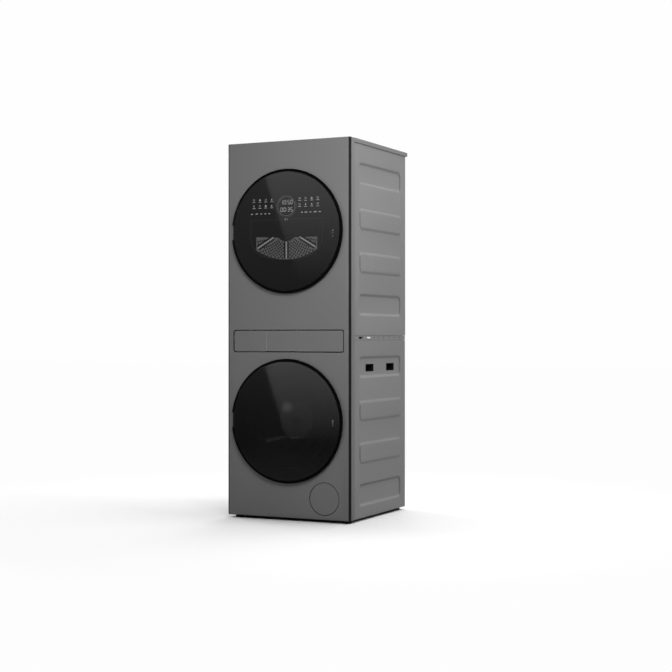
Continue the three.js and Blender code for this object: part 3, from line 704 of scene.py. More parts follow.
def build_strip(side, hand):
    """Strip over the joint of the two machines, with its slot, marks, a black backing behind it that is
    painted shadow in the gaps above and below it, and white clip.
    """
    node = f"joining_strip_{hand}"
    low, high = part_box(node)
    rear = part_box(f"dryer_side_{hand}")[1].y - 0.0005
    outline = rectangle(low.y, rear, low.z + 0.0006, high.z - 0.0006)
    holes = [rounded(*STRIP_SLOT, 0.003)]
    holes += [rounded(y, y + 0.016, 0.79, 0.792, 0.001) for y in STRIP_MARKS]
    depths = mirrored(side, SIDE_FACE - 0.0015, HALF - 0.014)
    strip = pierced_plate(f"{node}_skin", outline, holes, *depths, "X")
    soften(strip, 0.0006)
    piece(strip, "cabinet", "zinc_steel", node, look=MATERIALS["side_paint"])
    # Black backing behind the strip: painted shadow in the gaps above and below it.
    outline = rectangle(low.y + 0.002, high.y, low.z - 0.002, high.z + 0.002)
    depths = mirrored(side, HALF - 0.0149, HALF - 0.0142)
    piece(prism(f"joining_shadow_backing_{hand}", outline, *depths, "X"), "cabinet", "black_plastic")
    clip = side_block(f"joining_clip_{hand}", side, (SIDE_FACE - 0.0016, SIDE_FACE + 0.0014), CLIP_Y, CLIP_Z)
    soften(clip, 0.001)
    piece(clip, "cabinet", "white_plastic")


def build_top_cover():
    low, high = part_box("top_cover")
    section = fillet(
        [(low.y, low.z), (high.y - 0.002, low.z), (high.y, low.z + 0.009), (high.y - 0.001, high.z),
         (low.y, high.z)], [0.0005, 0.002, 0.006, 0.006, 0.0015], steps=6)
    cover = prism("top_cover_skin", section, low.x, high.x, "X")
    inner = SIDE_FACE + 0.0004
    wall = 0.003
    carve(cover, block("hollow", (-inner, low.y + wall, low.z - 0.01), (inner, 0.3036, high.z - wall)))
    soften(cover, wall, 4, 60)
    piece(cover, "cabinet", "cover_paint", "top_cover")


def build_feet():
    for end in ("front", "rear"):
        for hand in ("left", "right"):
            node = f"foot_{end}_{hand}"
            at = middle(node)
            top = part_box(node)[1].z
            profile = [(0, 0), (0.0185, 0), (0.019, 0.0012), (0.019, 0.0055), (0.0172, 0.0082),
                       (0.0125, 0.0105), (0.005, 0.011), (0.005, top), (0, top)]
            piece(turned_up(f"{node}_skin", profile, at.x, at.y), "cabinet", "black_rubber", node)


SCREW_RADIUS = 0.0045


def screw(x, y, z):
    """Round-headed cross screw facing +Y."""
    arm = SCREW_RADIUS * 0.6
    half = 0.0005
    foot = y - 0.0022
    profile = [(0, y), (arm, y), (SCREW_RADIUS, y - 0.001), (SCREW_RADIUS, foot), (0, foot)]
    cross = [block("bar", (x - a, y - 0.0009, z - b), (x + a, y + 0.001, z + b))
             for a, b in ((arm, half), (half, arm))]
    return carve(turned_solid("screw", profile, z, 20, x), *cross)


INLET_REACH = 0.011  # how far the mains inlets stand out of the back panels


VENT_WIDE = 0.019  # half width of a vent slot
VENT_TALL = 0.0025
RIB_X = 0.235
SCREW_SEAT = 0.0022
def vent_slots(vent_z):
    slots = []
    for row in range(5):
        for column in range(9):
            x = (column - 4) * 0.05
            z = vent_z + (row - 2) * 0.013
            slots.append(rounded(x - VENT_WIDE, x + VENT_WIDE, z - VENT_TALL, z + VENT_TALL, 0.0024))
    return slots


def build_back(machine, centre_z, cover_radius):
    """Back panel with vents and two pressed ribs, its round cover and its screws."""
    node = f"{machine}_back_panel"
    low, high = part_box(node)
    face = high.y - INLET_REACH
    crown = face + 0.004
    buried = face - 0.0005
    slots = vent_slots(low.z + 0.09 if machine == "washer" else high.z - 0.1)
    plate = pierced_plate(f"{node}_skin", rectangle(low.x, high.x, low.z, high.z), slots, face - SHEET, face)
    cover = turned_solid("cover", fillet(
        [(0, buried), (cover_radius, buried), (cover_radius - 0.008, crown), (cover_radius * 0.45, crown),
         (cover_radius * 0.42, crown - 0.002), (0, crown - 0.002)],
        [0, 0, 0.003, 0.002, 0.002, 0], closed=False), centre_z)
    ribs = []
    for x in (-RIB_X, RIB_X):
        outline = rounded(x - 0.012, x + 0.012, low.z + 0.2, high.z - 0.2, 0.0118, 8)
        rib = prism("rib", outline, buried, face + 0.0025)
        ribs.append(settle(soften(rib, 0.002, 3)))
    ring = cover_radius + 0.016
    places = []
    for k in range(6):
        angle = math.pi * (k + 0.5) / 3
        places.append((ring * math.cos(angle), centre_z + ring * math.sin(angle)))
    for x in (low.x + 0.012, high.x - 0.012):
        places += [(x, z) for z in (low.z + 0.02, (low.z + high.z) / 2, high.z - 0.03)]
    screws = [screw(x, face + SCREW_SEAT, z) for x, z in places]
    sheet = join_meshes(f"{node}_sheet", [plate, *ribs])
    piece(smooth(sheet), "cabinet", "zinc_steel", node)
    piece(cover, "cabinet", "zinc_steel").name = f"{machine}_back_cover"
    heads = join_meshes(f"{machine}_back_screws", screws)
    piece(smooth(heads), "cabinet", "zinc_steel", look=SCREW)


WATER_INLETS = ((0.19, 0.7), (0.245, 0.7))
MAINS_INLETS = ((-0.24, 0.73), (-0.24, 0.86))
DRAIN = (-0.22, 0.66)
THREADS = 5
THREAD_PITCH = 0.0022


def build_connections():
    """Threaded water inlets, drain spout and the mains inlet glands of both machines."""
    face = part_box("washer_back_panel")[1].y - INLET_REACH
    profile = [(0, face), (0.017, face), (0.017, face + 0.003), (0.0125, face + 0.004)]
    for k in range(THREADS):
        y = face + 0.005 + k * THREAD_PITCH
        profile += [(0.0125, y), (0.0132, y + THREAD_PITCH / 2)]
    profile += [(0.0118, face + 0.0172), (0.009, face + 0.0172), (0.009, face + 0.006), (0, face + 0.006)]
    for number, (x, z) in enumerate(WATER_INLETS):
        inlet = turned_solid(f"water_inlet_{number + 1}", profile, z, 48, x)
        piece(inlet, "cabinet", "white_plastic")
    end = cad_high.y - 0.001
    spout = turned_solid("drain_spout", [
        (0, face), (0.022, face), (0.022, face + 0.003), (0.0125, face + 0.005), (0.0125, end - 0.001),
        (0.0102, end), (0.0102, face + 0.004), (0, face + 0.004)], DRAIN[1], 48, DRAIN[0])
    piece(spout, "cabinet", "grey_plastic")
    for number, (x, z) in enumerate(MAINS_INLETS):
        gland = turned_solid(f"mains_inlet_{number + 1}", [
            (0, face), (0.014, face), (0.014, face + 0.002), (0.0095, face + 0.003), (0.0085, face + 0.011),
            (0.0052, face + 0.0115), (0.0052, face + 0.003), (0, face + 0.003)], z, 40, x)
        piece(gland, "cabinet", "black_plastic")


# ---- detergent drawer and its band ----


BAND_RADII = (0.01, 0.0015, 0.0015, 0.01)  # round outer end, nearly sharp inner end
SEAM_HIGHLIGHT_WIDE = 0.003
# Where the black baffles stand that put painted shade at the ends of the band's groove.
GROOVE_SHADE_BAFFLE = ((0.2798, 0.2812), (FRONT + 0.0016, FRONT + 0.05), (0.716, 0.838))


def build_band():
    """Drawer front and fascia in their opening, with painted shade on their flanks, a light grey strip
    between them as a painted highlight on the seam, and black baffles beside them as painted shade at the
    ends of the groove.
    """
    for node, body, radii in (("drawer_front", "drawer", BAND_RADII),
                              ("dispenser_fascia", "cabinet", BAND_RADII[2:] + BAND_RADII[:2])):
        low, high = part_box(node)
        outline = fillet(rectangle(low.x, high.x, low.z, high.z), radii, steps=8)
        face = prism(f"{node}_skin", outline, low.y, high.y)
        settle(soften(face, 0.0008, 3, 50))
        piece(face, body, "panel_paint", node)
        # Painted shade on the flanks of the drawer front and the fascia.
        shade_faces(face, PAINTED_EDGE_SHADE, is_flank)
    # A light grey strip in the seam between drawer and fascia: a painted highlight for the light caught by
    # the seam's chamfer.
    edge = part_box("drawer_front")[1].x + 0.0002
    inset = 0.0006
    seam_highlight = block("drawer_seam_highlight", (edge, FRONT + 0.0012, BAND_LOW.z + inset),
                 (edge + SEAM_HIGHLIGHT_WIDE, FRONT + 0.006, BAND_HIGH.z - inset))
    soften(seam_highlight, inset, 2)
    piece(seam_highlight, "drawer", "grey_plastic", look=SEAM_HIGHLIGHT)
    # Black baffles behind the ends of the band's groove: painted shade, so the groove ends read dark.
    for hand, side in (("left", -1), ("right", 1)):
        piece(side_block(f"band_shade_baffle_{hand}", side, *GROOVE_SHADE_BAFFLE), "cabinet", "black_plastic")
    for node in ("detergent_drawer", "dispenser_housing"):
        soften(frame["nodes"][node], 0.0012, 3, 40)


FLAP_SHEET = 0.004
SNAP = (0.007, 0.058, 0.062)  # half width, foot and top of the snap over the flap's centre
GAP_SHADE_RING = (0.005, 0.007, 0.0064, 0.0076)
CAP_GRIP = (0.006, 0.014, 0.027)


def build_flap():
    """Round service flap with painted shade on its flanks, a black ring behind its gap as painted shade, and
    the pump filter's cap.
    """
    low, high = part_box("filter_flap")
    back = low.y + FLAP_SHEET
    rim = FLAP_RADIUS - 0.0004
    profile = fillet([(0, low.y), (rim - 0.003, low.y), (rim, low.y), (rim, back), (0, back)],
                     [0, 0, 0.0006, 0.0004, 0], closed=False)
    disc = turned_solid("filter_flap_skin", profile, FLAP.z, 128, FLAP.x)
    wide, foot, top = SNAP
    snap = block("snap", (FLAP.x - wide, back - 0.0005, FLAP.z + foot),
                 (FLAP.x + wide, high.y, FLAP.z + top))
    flap = join_meshes("filter_flap_disc", [disc, snap])
    piece(smooth(flap), "service_flap", "panel_paint", "filter_flap")
    # Painted shade on the flanks of the flap.
    shade_faces(flap, PAINTED_EDGE_SHADE, is_flank)
    # A black ring behind the gap round the flap: painted shade, so the gap reads dark.
    inwards, outwards, start, end = GAP_SHADE_RING
    loop = rectangle(FLAP_RADIUS - inwards, FLAP_RADIUS + outwards, FRONT + start, FRONT + end)
    piece(turned("flap_gap_shade_ring", loop, FLAP.z, 96, FLAP.x), "cabinet", "black_rubber")
    cap_low, cap_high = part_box("pump_filter_cap")
    z = middle("pump_filter_cap").z
    wide, reach, tall = CAP_GRIP
    front = cap_low.y + reach
    plug = turned_solid("pump_filter_cap_skin", fillet([
        (0, front), (0.028, front), (0.031, front + 0.003), (0.031, cap_high.y), (0, cap_high.y)],
        [0, 0.002, 0.001, 0.001, 0], closed=False), z, 96, FLAP.x)
    grip = block("grip", (FLAP.x - wide, cap_low.y, z - tall), (FLAP.x + wide, front + 0.002, z + tall))
    settle(soften(grip, 0.003, 4))
    cap = join_meshes("pump_filter_cap_body", [plug, grip])
    piece(smooth(cap), "filter_cap", "black_plastic", "pump_filter_cap")


# ---- doors ----


RING_HOLE = 0.205
RING_SEAT = GLASS_RADIUS + 0.0004  # the glass sits in the ring with this much room
COVER_BACK = GLASS_BACK + 0.0003
NOTCH = ((-0.28, HINGE_X + 0.0055), (-0.33, -0.29), 0.032)
HINGE_BORE = (0.0027, 0.0385)
HOOK_X = (0.229, 0.235)
HOOK_TIP = -0.28


def build_door(machine, door):
    """Glossy ring with its hinge notch, bore and lock hook, and the dark glass on it."""
    body = f"{machine}_door"
    back = RING_BACK
    profile = fillet([
        (RING_HOLE, back), (RING_RADIUS - 0.005, back), (RING_RADIUS, back - 0.008),
        (RING_RADIUS, back - 0.0145), (RING_RADIUS - 0.0035, back - 0.0172),
        (RING_SEAT, GLASS_FRONT + 0.0007), (RING_SEAT, COVER_BACK), (RING_HOLE, COVER_BACK)],
        [0.001, 0.002, 0.004, 0.002, 0.003, 0.0001, 0, 0], steps=5)
    ring = turned(f"{machine}_ring_skin", profile, door.z, 192)
    x, y, tall = NOTCH
    notch = block("notch", (x[0], y[0], door.z - tall), (x[1], y[1], door.z + tall))
    radius, tall = HINGE_BORE
    bore = prism("bore", circle(HINGE_X, HINGE_Y, radius, 24), door.z - tall, door.z + tall, "Z")
    carve(ring, notch, bore)
    foot = door.z - 0.01
    hook = block("hook", (HOOK_X[0], back - 0.001, foot), (HOOK_X[1], HOOK_TIP, door.z + 0.01))
    barb = block("barb", (HOOK_X[0], HOOK_TIP - 0.004, foot), (HOOK_X[1], HOOK_TIP, door.z + 0.013))
    ring = weld(ring, hook, barb)
    piece(smooth(ring), body, "black_gloss", f"{machine}_door_ring")
    bend = GLASS_RADIUS - 0.004
    glass = turned_solid(f"{machine}_glass_skin", fillet(
        [(0, GLASS_FACE), (bend, GLASS_FACE), (GLASS_RADIUS, GLASS_FACE), (GLASS_RADIUS, GLASS_BACK),
         (bend, GLASS_BACK), (0, GLASS_BACK)],
        [0, 0, 0.0018, 0.0005, 0, 0], closed=False, steps=5), door.z, 192)
    piece(glass, body, "dark_glass", f"{machine}_door_glass")


def build_washer_border():
    """Black border printed on the back of the washer's glass."""
    border = turned("washer_glass_border", rectangle(RING_HOLE, MASK_RADIUS, *MASK_DEPTH), WASHER.z, 160)
    piece(border, "washer_door", "black_gloss", look=MATERIALS["black_plastic"])


RIDGE_RADII = (0.03, 0.042, 0.054, 0.066, 0.078)
RIDGE_WIDE = 0.0024


def build_washer_bowl():
    """Clear bowl behind the washer's glass, with rings moulded into its floor that glow as a painted
    reflection.
    """
    seat = COVER_BACK + 0.005
    profile = fillet([
        (0, -0.215), (0.11, -0.215), (0.15, -0.235), (0.165, -0.298), (0.165, seat), (0.2, seat),
        (0.2, COVER_BACK), (0.16, COVER_BACK), (0.16, -0.298), (0.146, -0.238), (0.108, -0.219),
        (0, -0.219)],
        [0, 0.03, 0.03, 0.02, 0.002, 0.001, 0.001, 0.004, 0.02, 0.028, 0.028, 0], closed=False, steps=7)
    bowl = turned_solid("washer_bowl_skin", profile, WASHER.z, 160)
    piece(bowl, "washer_door", "clear_glass", "washer_door_bowl")
    ridges = []
    for radius in RIDGE_RADII:
        outer, inner = (circle(0, WASHER.z, r, 72) for r in (radius, radius - RIDGE_WIDE))
        ridges.append(pierced_plate("ridge", outer, [inner], -0.2192, -0.2183))
    # The rings glow: painted reflection.
    piece(join_meshes("washer_bowl_ridges", ridges), "washer_door", "clear_glass", look=RIDGE)


MASK_RADIUS = GLASS_RADIUS - 0.001
MASK_DEPTH = (GLASS_BACK + 0.00005, GLASS_BACK + 0.00025)
WINDOW_FACE = GLASS_BACK + 0.0004
WINDOW_HALF = 0.176
WINDOW_TOP = 0.052
WINDOW_FOOT = -0.124
WINDOW_SHOULDER = -0.02
GRILLE_HALF = 0.148
GRILLE_TOP = -0.028
GRILLE_CENTRE = 0.154  # height of the centre of the grille's arcs over the door's centre
GRILLE_RADIUS = 0.276
RIB_CENTRE = 0.01
RIBS = ((270, 0.056, 0.128), (210, 0.072, 0.162), (330, 0.074, 0.162))  # heading, start and end
RIB_ROOM = 0.0135
HUB_RADIUS = 0.055
HOLE_RADIUS = 0.0044
HOLE_ROWS = 0.0074
HOLE_ANGLE = 0.069
HOLE_MARGIN = 0.0047
def lifted(points, z):
    return [(a, b + z) for a, b in points]


def window_outline(inset=0.0):
    """Level top, upright sides and a wide curved foot; the right half mirrors the left."""
    half = WINDOW_HALF - inset
    foot = WINDOW_FOOT + inset
    ends = ((-half, WINDOW_SHOULDER), (-half, foot + 0.02), (-half * 0.55, foot), (0, foot))
    left = [(-half, WINDOW_TOP - inset), (-half, WINDOW_SHOULDER)]
    steps = 10
    for k in range(1, steps + 1):
        t = k / steps
        weights = ((1 - t) ** 3, 3 * t * (1 - t) ** 2, 3 * t * t * (1 - t), t ** 3)
        left.append(tuple(sum(w * e[axis] for w, e in zip(weights, ends)) for axis in (0, 1)))
    return left + [(-x, z) for x, z in reversed(left[:-1])]


def near_rib(x, z):
    offset = Vector((x, z - RIB_CENTRE))
    for heading, *_ in RIBS:
        along = Vector((math.cos(math.radians(heading)), math.sin(math.radians(heading))))
        if abs(offset.x * along.y - offset.y * along.x) < RIB_ROOM and offset.dot(along) > 0:
            return True
    return False


def build_dryer_window():
    """Black mask behind the dryer's glass, its window's rim glowing as painted light, its pane drawn black
    as painted shade behind the grille, and the grille.
    """
    y = WINDOW_FACE
    outline = lifted(window_outline(), DRYER.z)
    mask = pierced_plate("dryer_glass_mask", circle(0, DRYER.z, MASK_RADIUS, 160), [outline], *MASK_DEPTH)
    piece(mask, "dryer_door", "black_gloss", look=MATERIALS["black_plastic"])
    inner = lifted(window_outline(0.0025), DRYER.z)
    rim = pierced_plate("dryer_window_rim", outline, [inner], y, y + 0.0022)
    soften(rim, 0.0004, 1)
    # The rim glows: painted light.
    piece(rim, "dryer_door", "grey_plastic", look=WINDOW_RIM)
    # The pane is drawn black: painted shade behind the grille's holes, where the drum is dark.
    pane = prism("dryer_window_painted_dark_pane", lifted(window_outline(0.0027), DRYER.z), y + 0.0032, y + 0.004)
    piece(pane, "dryer_door", "clear_glass", "dryer_door_window", look=MATERIALS["black_plastic"])
    build_grille(y)


def arc(z, radius, heading, spread, steps=24):
    """Points on a circle about x = 0, from one side of the heading to the other."""
    out = []
    for k in range(steps + 1):
        angle = heading - spread + 2 * spread * k / steps
        out.append((radius * math.cos(angle), z + radius * math.sin(angle)))
    return out


def grille_outline():
    """Wide arc at the foot, a level top and the round hub cut into the middle of the top."""
    down = -math.pi / 2
    foot = arc(GRILLE_CENTRE, GRILLE_RADIUS, down, math.asin(GRILLE_HALF / GRILLE_RADIUS))
    hub = arc(RIB_CENTRE, HUB_RADIUS, down, -math.acos((RIB_CENTRE - GRILLE_TOP) / HUB_RADIUS))
    return [*foot, (GRILLE_HALF, GRILLE_TOP), *hub, (-GRILLE_HALF, GRILLE_TOP + 0.006)]


def grille_holes():
    holes = []
    for row in range(int(0.13 / HOLE_ROWS)):
        radius = GRILLE_RADIUS - HOLE_ROWS * (row + 0.68)
        for k in range(-12, 13):
            angle = -math.pi / 2 + (k + 0.5 * (row % 2)) * HOLE_ANGLE
            x = radius * math.cos(angle)
            z = GRILLE_CENTRE + radius * math.sin(angle)
            clear_of_hub = math.hypot(x, z - RIB_CENTRE) > HUB_RADIUS + 0.005
            inside = abs(x) < GRILLE_HALF - HOLE_MARGIN and z < GRILLE_TOP - HOLE_MARGIN
            if inside and clear_of_hub and not near_rib(x, z):
                holes.append((x, z))
    return holes


def rib_bars(half_width, depth):
    """One bar along each rib, at a depth behind the window's face."""
    bars = []
    origin = Vector((0, RIB_CENTRE + DRYER.z))
    for heading, start, end in RIBS:
        turn = math.radians(heading)
        along = Vector((math.cos(turn), math.sin(turn)))
        across = Vector((-along.y, along.x))
        corners = [origin + along * a + across * b for a, b in
                   ((start, -half_width), (end, -half_width), (end, half_width), (start, half_width))]
        y = WINDOW_FACE + depth
        bars.append(prism("bar", fillet(corners, 0.002), y, y + 0.0008))
    return bars


def build_grille(y):
    """Perforated steel seen through the window, glowing as painted light: rows of holes on wide arcs and
    three ribs, each a painted highlight on a black bed of painted shadow.
    """
    holes = [circle(a, b + DRYER.z, HOLE_RADIUS, 10) for a, b in grille_holes()]
    outline = lifted(grille_outline(), DRYER.z)
    plate = pierced_plate("dryer_window_grille", outline, holes, y + 0.0014, y + 0.0028)
    # The grille glows: painted light.
    piece(smooth(plate), "dryer_door", "stainless", look=LIT_STEEL)
    # Black beds beside the ribs: painted shadow.
    rib_shadows = join_meshes("dryer_window_rib_shadows", rib_bars(half_width=0.0115, depth=0.0011))
    piece(rib_shadows, "dryer_door", "black_plastic")
    # The ribs glow: painted highlights.
    ribs = join_meshes("dryer_window_ribs", rib_bars(half_width=0.0038, depth=0.0003))
    soften(ribs, 0.0003, 2)
    piece(ribs, "dryer_door", "stainless", look=LIT_RIB)


PRINT_DEPTH = 0.00015


class Marks:
    """Collects flat printed shapes on the front of a door glass."""

    def __init__(self, name, z, material):
        self.name, self.z, self.material, self.solids = name, z, material, []
        self.depths = (GLASS_FRONT, GLASS_FRONT + PRINT_DEPTH)

    def shape(self, outline):
        self.solids.append(prism("mark", lifted(outline, self.z), *self.depths))

    def bar(self, x, z, wide, tall):
        self.shape(rectangle(x - wide / 2, x + wide / 2, z - tall / 2, z + tall / 2))

    def dot(self, x, z, radius):
        self.shape(circle(x, z, radius, 16))

    def hoop(self, x, z, radius, wide, steps):
        outer, inner = (circle(x, z + self.z, r, steps) for r in (radius, radius - wide))
        self.solids.append(pierced_plate("mark", outer, [inner], *self.depths))

    def finish(self, body):
        marks = join_meshes(self.name, self.solids)
        piece(marks, body, "white_plastic", look=self.material)


SEGMENTS = {  # bars of one digit: across or up, and where, in half widths and half heights
    "top": (0, 1, True), "middle": (0, 0, True), "bottom": (0, -1, True),
    "upper_left": (-1, 0.5, False), "upper_right": (1, 0.5, False),
    "lower_left": (-1, -0.5, False), "lower_right": (1, -0.5, False),
}
DIGIT_BARS = {
    "0": ("top", "bottom", "upper_left", "upper_right", "lower_left", "lower_right"),
    "1": ("upper_right", "lower_right"),
    "5": ("top", "middle", "bottom", "upper_left", "lower_right"),
    "8": tuple(SEGMENTS),
    "3": ("top", "middle", "bottom", "upper_right", "lower_right"),
}


STROKE = 0.0016
DIGIT_SIZE = (0.0085, 0.0165)


def draw_digit(marks, character, x, z):
    wide, tall = DIGIT_SIZE
    for bar in DIGIT_BARS[character]:
        across, up, level = SEGMENTS[bar]
        size = (wide - STROKE, STROKE) if level else (STROKE, tall / 2 - STROKE * 0.6)
        marks.bar(x + across * wide / 2, z + up * tall / 2, *size)


def draw_icon(marks, kind, x, z, size):
    """One of a few plain programme signs."""
    left, right = x - size, x + size
    if kind == 0:
        marks.hoop(x, z, size, size * 0.28, 20)
    elif kind == 1:
        marks.shape([(left, z - size * 0.8), (right, z - size * 0.8), (x, z + size)])
    elif kind == 2:
        marks.dot(x, z - size * 0.2, size * 0.75)
        marks.bar(x, z + size * 0.8, size * 0.4, size * 0.7)
    elif kind == 3:
        for step in (-1, 0, 1):
            marks.bar(x + step * size * 0.75, z, size * 0.35, size * 1.8)
    else:
        marks.shape([(left, z - size), (right, z - size), (right, z), (x, z + size), (left, z)])


RING_MIDDLE = (0.004, 0.107)  # of the round frame about the digits
DIGIT_ROWS = (("1050", 0.124), ("0035", 0.092))
DIGIT_PITCH = 0.0145
ICON_COLUMNS = (0.068, 0.097, 0.126, 0.155)
ICON_ROWS = (0.137, 0.111)
DASH_COLUMNS = (0.08, 0.099, 0.12, 0.142, 0.165)
TOUCH_X = 0.226
TOUCH_ROWS = (("dryer_door", DRYER, (-0.004, -0.015, -0.028)),
              ("washer_door", WASHER, (0.008, -0.002, -0.012)))
def build_digits():
    digits = Marks("display_digits", DRYER.z, DIGITS)
    for text, z in DIGIT_ROWS:
        for k, character in enumerate(text):
            x = -0.019 + k * DIGIT_PITCH + (0.004 if k > 1 else 0)
            draw_digit(digits, character, x, z)
        for dz in (-0.004, 0.004):
            digits.dot(0.0045, z + dz, 0.0011)
    digits.finish("dryer_door")


def build_display():
    """Lit digits in a round frame, rows of programme signs beside them and the touch marks."""
    rng = random.Random(7)
    build_digits()
    icons = Marks("programme_marks", DRYER.z, PRINT)
    for column in ICON_COLUMNS:
        for side in (-1, 1):
            for z in ICON_ROWS:
                draw_icon(icons, rng.randrange(5), side * column, z + 0.001, 0.0042)
                icons.bar(side * column, z - 0.0085, 0.014, 0.002)
    for x in DASH_COLUMNS:
        for side in (-1, 1):
            icons.bar(side * x, 0.0775, rng.uniform(0.007, 0.014), 0.0036)
    icons.finish("dryer_door")
    faint = Marks("display_ring", DRYER.z, PRINT_FAINT)
    faint.hoop(*RING_MIDDLE, 0.042, 0.0016, 96)
    faint.hoop(*RING_MIDDLE, 0.0475, 0.0006, 96)
    faint.shape([(-0.004, 0.044), (0.006, 0.05), (-0.004, 0.056)])
    faint.bar(0.0095, 0.05, 0.0014, 0.011)
    faint.finish("dryer_door")
    for body, door, rows in TOUCH_ROWS:
        side_marks = Marks(f"{body}_touch_marks", door.z, PRINT_SOFT)
        for kind, z in zip((4, 3, 0), rows):
            draw_icon(side_marks, kind, TOUCH_X, z, 0.0031)
        side_marks.finish(body)


def build_dryer_liner():
    """Plastic back of the dryer's door."""
    profile = fillet([
        (0, -0.291), (0.15, -0.291), (0.186, -0.301), (0.2044, -0.301), (0.2044, -0.308), (0.182, -0.308),
        (0.148, -0.297), (0, -0.297)], [0, 0.012, 0.012, 0.001, 0.001, 0.01, 0.01, 0], closed=False, steps=6)
    liner = turned_solid("dryer_liner_skin", profile, DRYER.z)
    piece(liner, "dryer_door", "grey_plastic", "dryer_door_liner")


# ---- drums, gasket and dryer bulkhead ----


def perforated(name, place, columns, rows, hole, thickness):
    """Sheet of square cells with an eight-sided hole in each, closed around by place(u, v)."""
    bm = bmesh.new()
    cache = {}

    def vertex(u, v):
        key = (round(u % columns, 4), round(v, 4))
        if key not in cache:
            cache[key] = bm.verts.new(place(key[0], key[1]))
        return cache[key]

    rim = [(0, 0), (0.5, 0), (1, 0), (1, 0.5), (1, 1), (0.5, 1), (0, 1), (0, 0.5)]
    ring = []
    for k in range(8):
        angle = math.radians(225 + 45 * k)
        ring.append((0.5 + hole * math.cos(angle), 0.5 + hole * math.sin(angle)))
    for i in range(columns):
        for j in range(rows):
            outer = [vertex(i + a, j + b) for a, b in rim]
            inner = [vertex(i + a, j + b) for a, b in ring]
            for k in range(8):
                n = (k + 1) % 8
                bm.faces.new((outer[k], outer[n], inner[n], inner[k]))
    return smooth(thicken(from_bmesh(name, bm), thickness), 40)


DRUM_COLUMNS = 96
DRUM_ROWS = 22
DRUM_HOLE = 0.22  # radius, as a share of the cell


def build_drum(name, centre, radius, lip_radius, length):
    """Perforated wall, rolled front lip and pressed back of one drum."""
    node = f"{name}_drum"
    body = f"{name}_drum_group"
    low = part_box(node)[0]
    wall = radius - 0.0015
    front, back = low.y + 0.012, low.y + length

    def on_wall(u, v):
        angle = 2 * math.pi * u / DRUM_COLUMNS
        y = front + (back - front) * v / DRUM_ROWS
        return (wall * math.cos(angle), y, centre.z + wall * math.sin(angle))

    shell = perforated(f"{node}_wall", on_wall, DRUM_COLUMNS, DRUM_ROWS, DRUM_HOLE, 0.001)
    piece(shell, body, "stainless", node)
    lip = turned(f"{node}_lip", fillet([
        (wall - 0.0008, front + 0.002), (wall - 0.0008, low.y + 0.003), (lip_radius, low.y),
        (lip_radius, low.y + 0.0012), (wall - 0.002, low.y + 0.0042), (wall - 0.002, front + 0.002)],
        [0, 0.006, 0.001, 0.001, 0.006, 0]), centre.z)
    piece(lip, body, "stainless")
    rear = turned_solid(f"{node}_back", fillet([
        (0, back - 0.012), (0.05, back - 0.012), (0.075, back), (0.13, back - 0.006), (0.2, back - 0.004),
        (wall - 0.001, back), (wall - 0.001, back + 0.0015), (0.2, back - 0.0025), (0.13, back - 0.0045),
        (0.075, back + 0.0015), (0.048, back - 0.0105), (0, back - 0.0105)],
        [0, 0.01, 0.02, 0.02, 0.02, 0.001, 0.001, 0.02, 0.02, 0.02, 0.01, 0], closed=False), centre.z)
    piece(rear, body, "stainless")


def build_washer_inside():
    """Folded rubber gasket of the door and the drum behind it."""
    gasket = turned("door_gasket_skin", fillet([
        (0.172, -0.297), (0.199, -0.297), (0.199, -0.2935), (0.187, -0.288), (0.187, -0.279),
        (0.193, -0.275), (0.193, -0.269), (0.187, -0.265), (0.187, -0.247), (0.199, -0.239),
        (0.199, -0.236), (0.176, -0.236), (0.178, -0.25), (0.178, -0.265), (0.184, -0.27),
        (0.184, -0.274), (0.178, -0.279), (0.178, -0.287), (0.172, -0.292)], 0.003), WASHER.z, 160)
    piece(gasket, "cabinet", "gasket_rubber", "door_gasket")
    build_drum("washer", WASHER, 0.245, 0.205, 0.36)


BULKHEAD_HOLE = 0.196
COLLAR_RADIUS = 0.214
COLLAR_START = -0.262
COLLAR_SHEET = 0.0015
WELL_HALF = 0.106
WELL_WALL = 0.004
def build_bulkhead():
    """Plate with a collar that carries the drum's front, and the well for the lint filter."""
    low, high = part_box("dryer_front_bulkhead")
    plate_back = low.y + 0.034
    plate = pierced_plate("bulkhead_plate", rectangle(low.x, high.x, 0.98, high.z),
                          [circle(0, DRYER.z, BULKHEAD_HOLE, 128)], plate_back - SHEET, plate_back)
    inner = COLLAR_RADIUS - COLLAR_SHEET
    step = COLLAR_START + COLLAR_SHEET
    collar = turned("bulkhead_collar", fillet([
        (BULKHEAD_HOLE, COLLAR_START), (COLLAR_RADIUS, COLLAR_START), (COLLAR_RADIUS, high.y),
        (inner, high.y), (inner, step), (BULKHEAD_HOLE, step)], 0.0006), DRYER.z)
    well = block("well", (-WELL_HALF, low.y, low.z), (WELL_HALF, -0.2615, 1.05))
    inner = WELL_HALF - WELL_WALL
    carve(well, block("pocket", (-inner, -0.289, 0.954), (inner, -0.266, 1.06)))
    bulkhead = join_meshes("dryer_bulkhead_skin", [plate, collar, well])
    piece(smooth(bulkhead), "cabinet", "zinc_steel", "dryer_front_bulkhead")


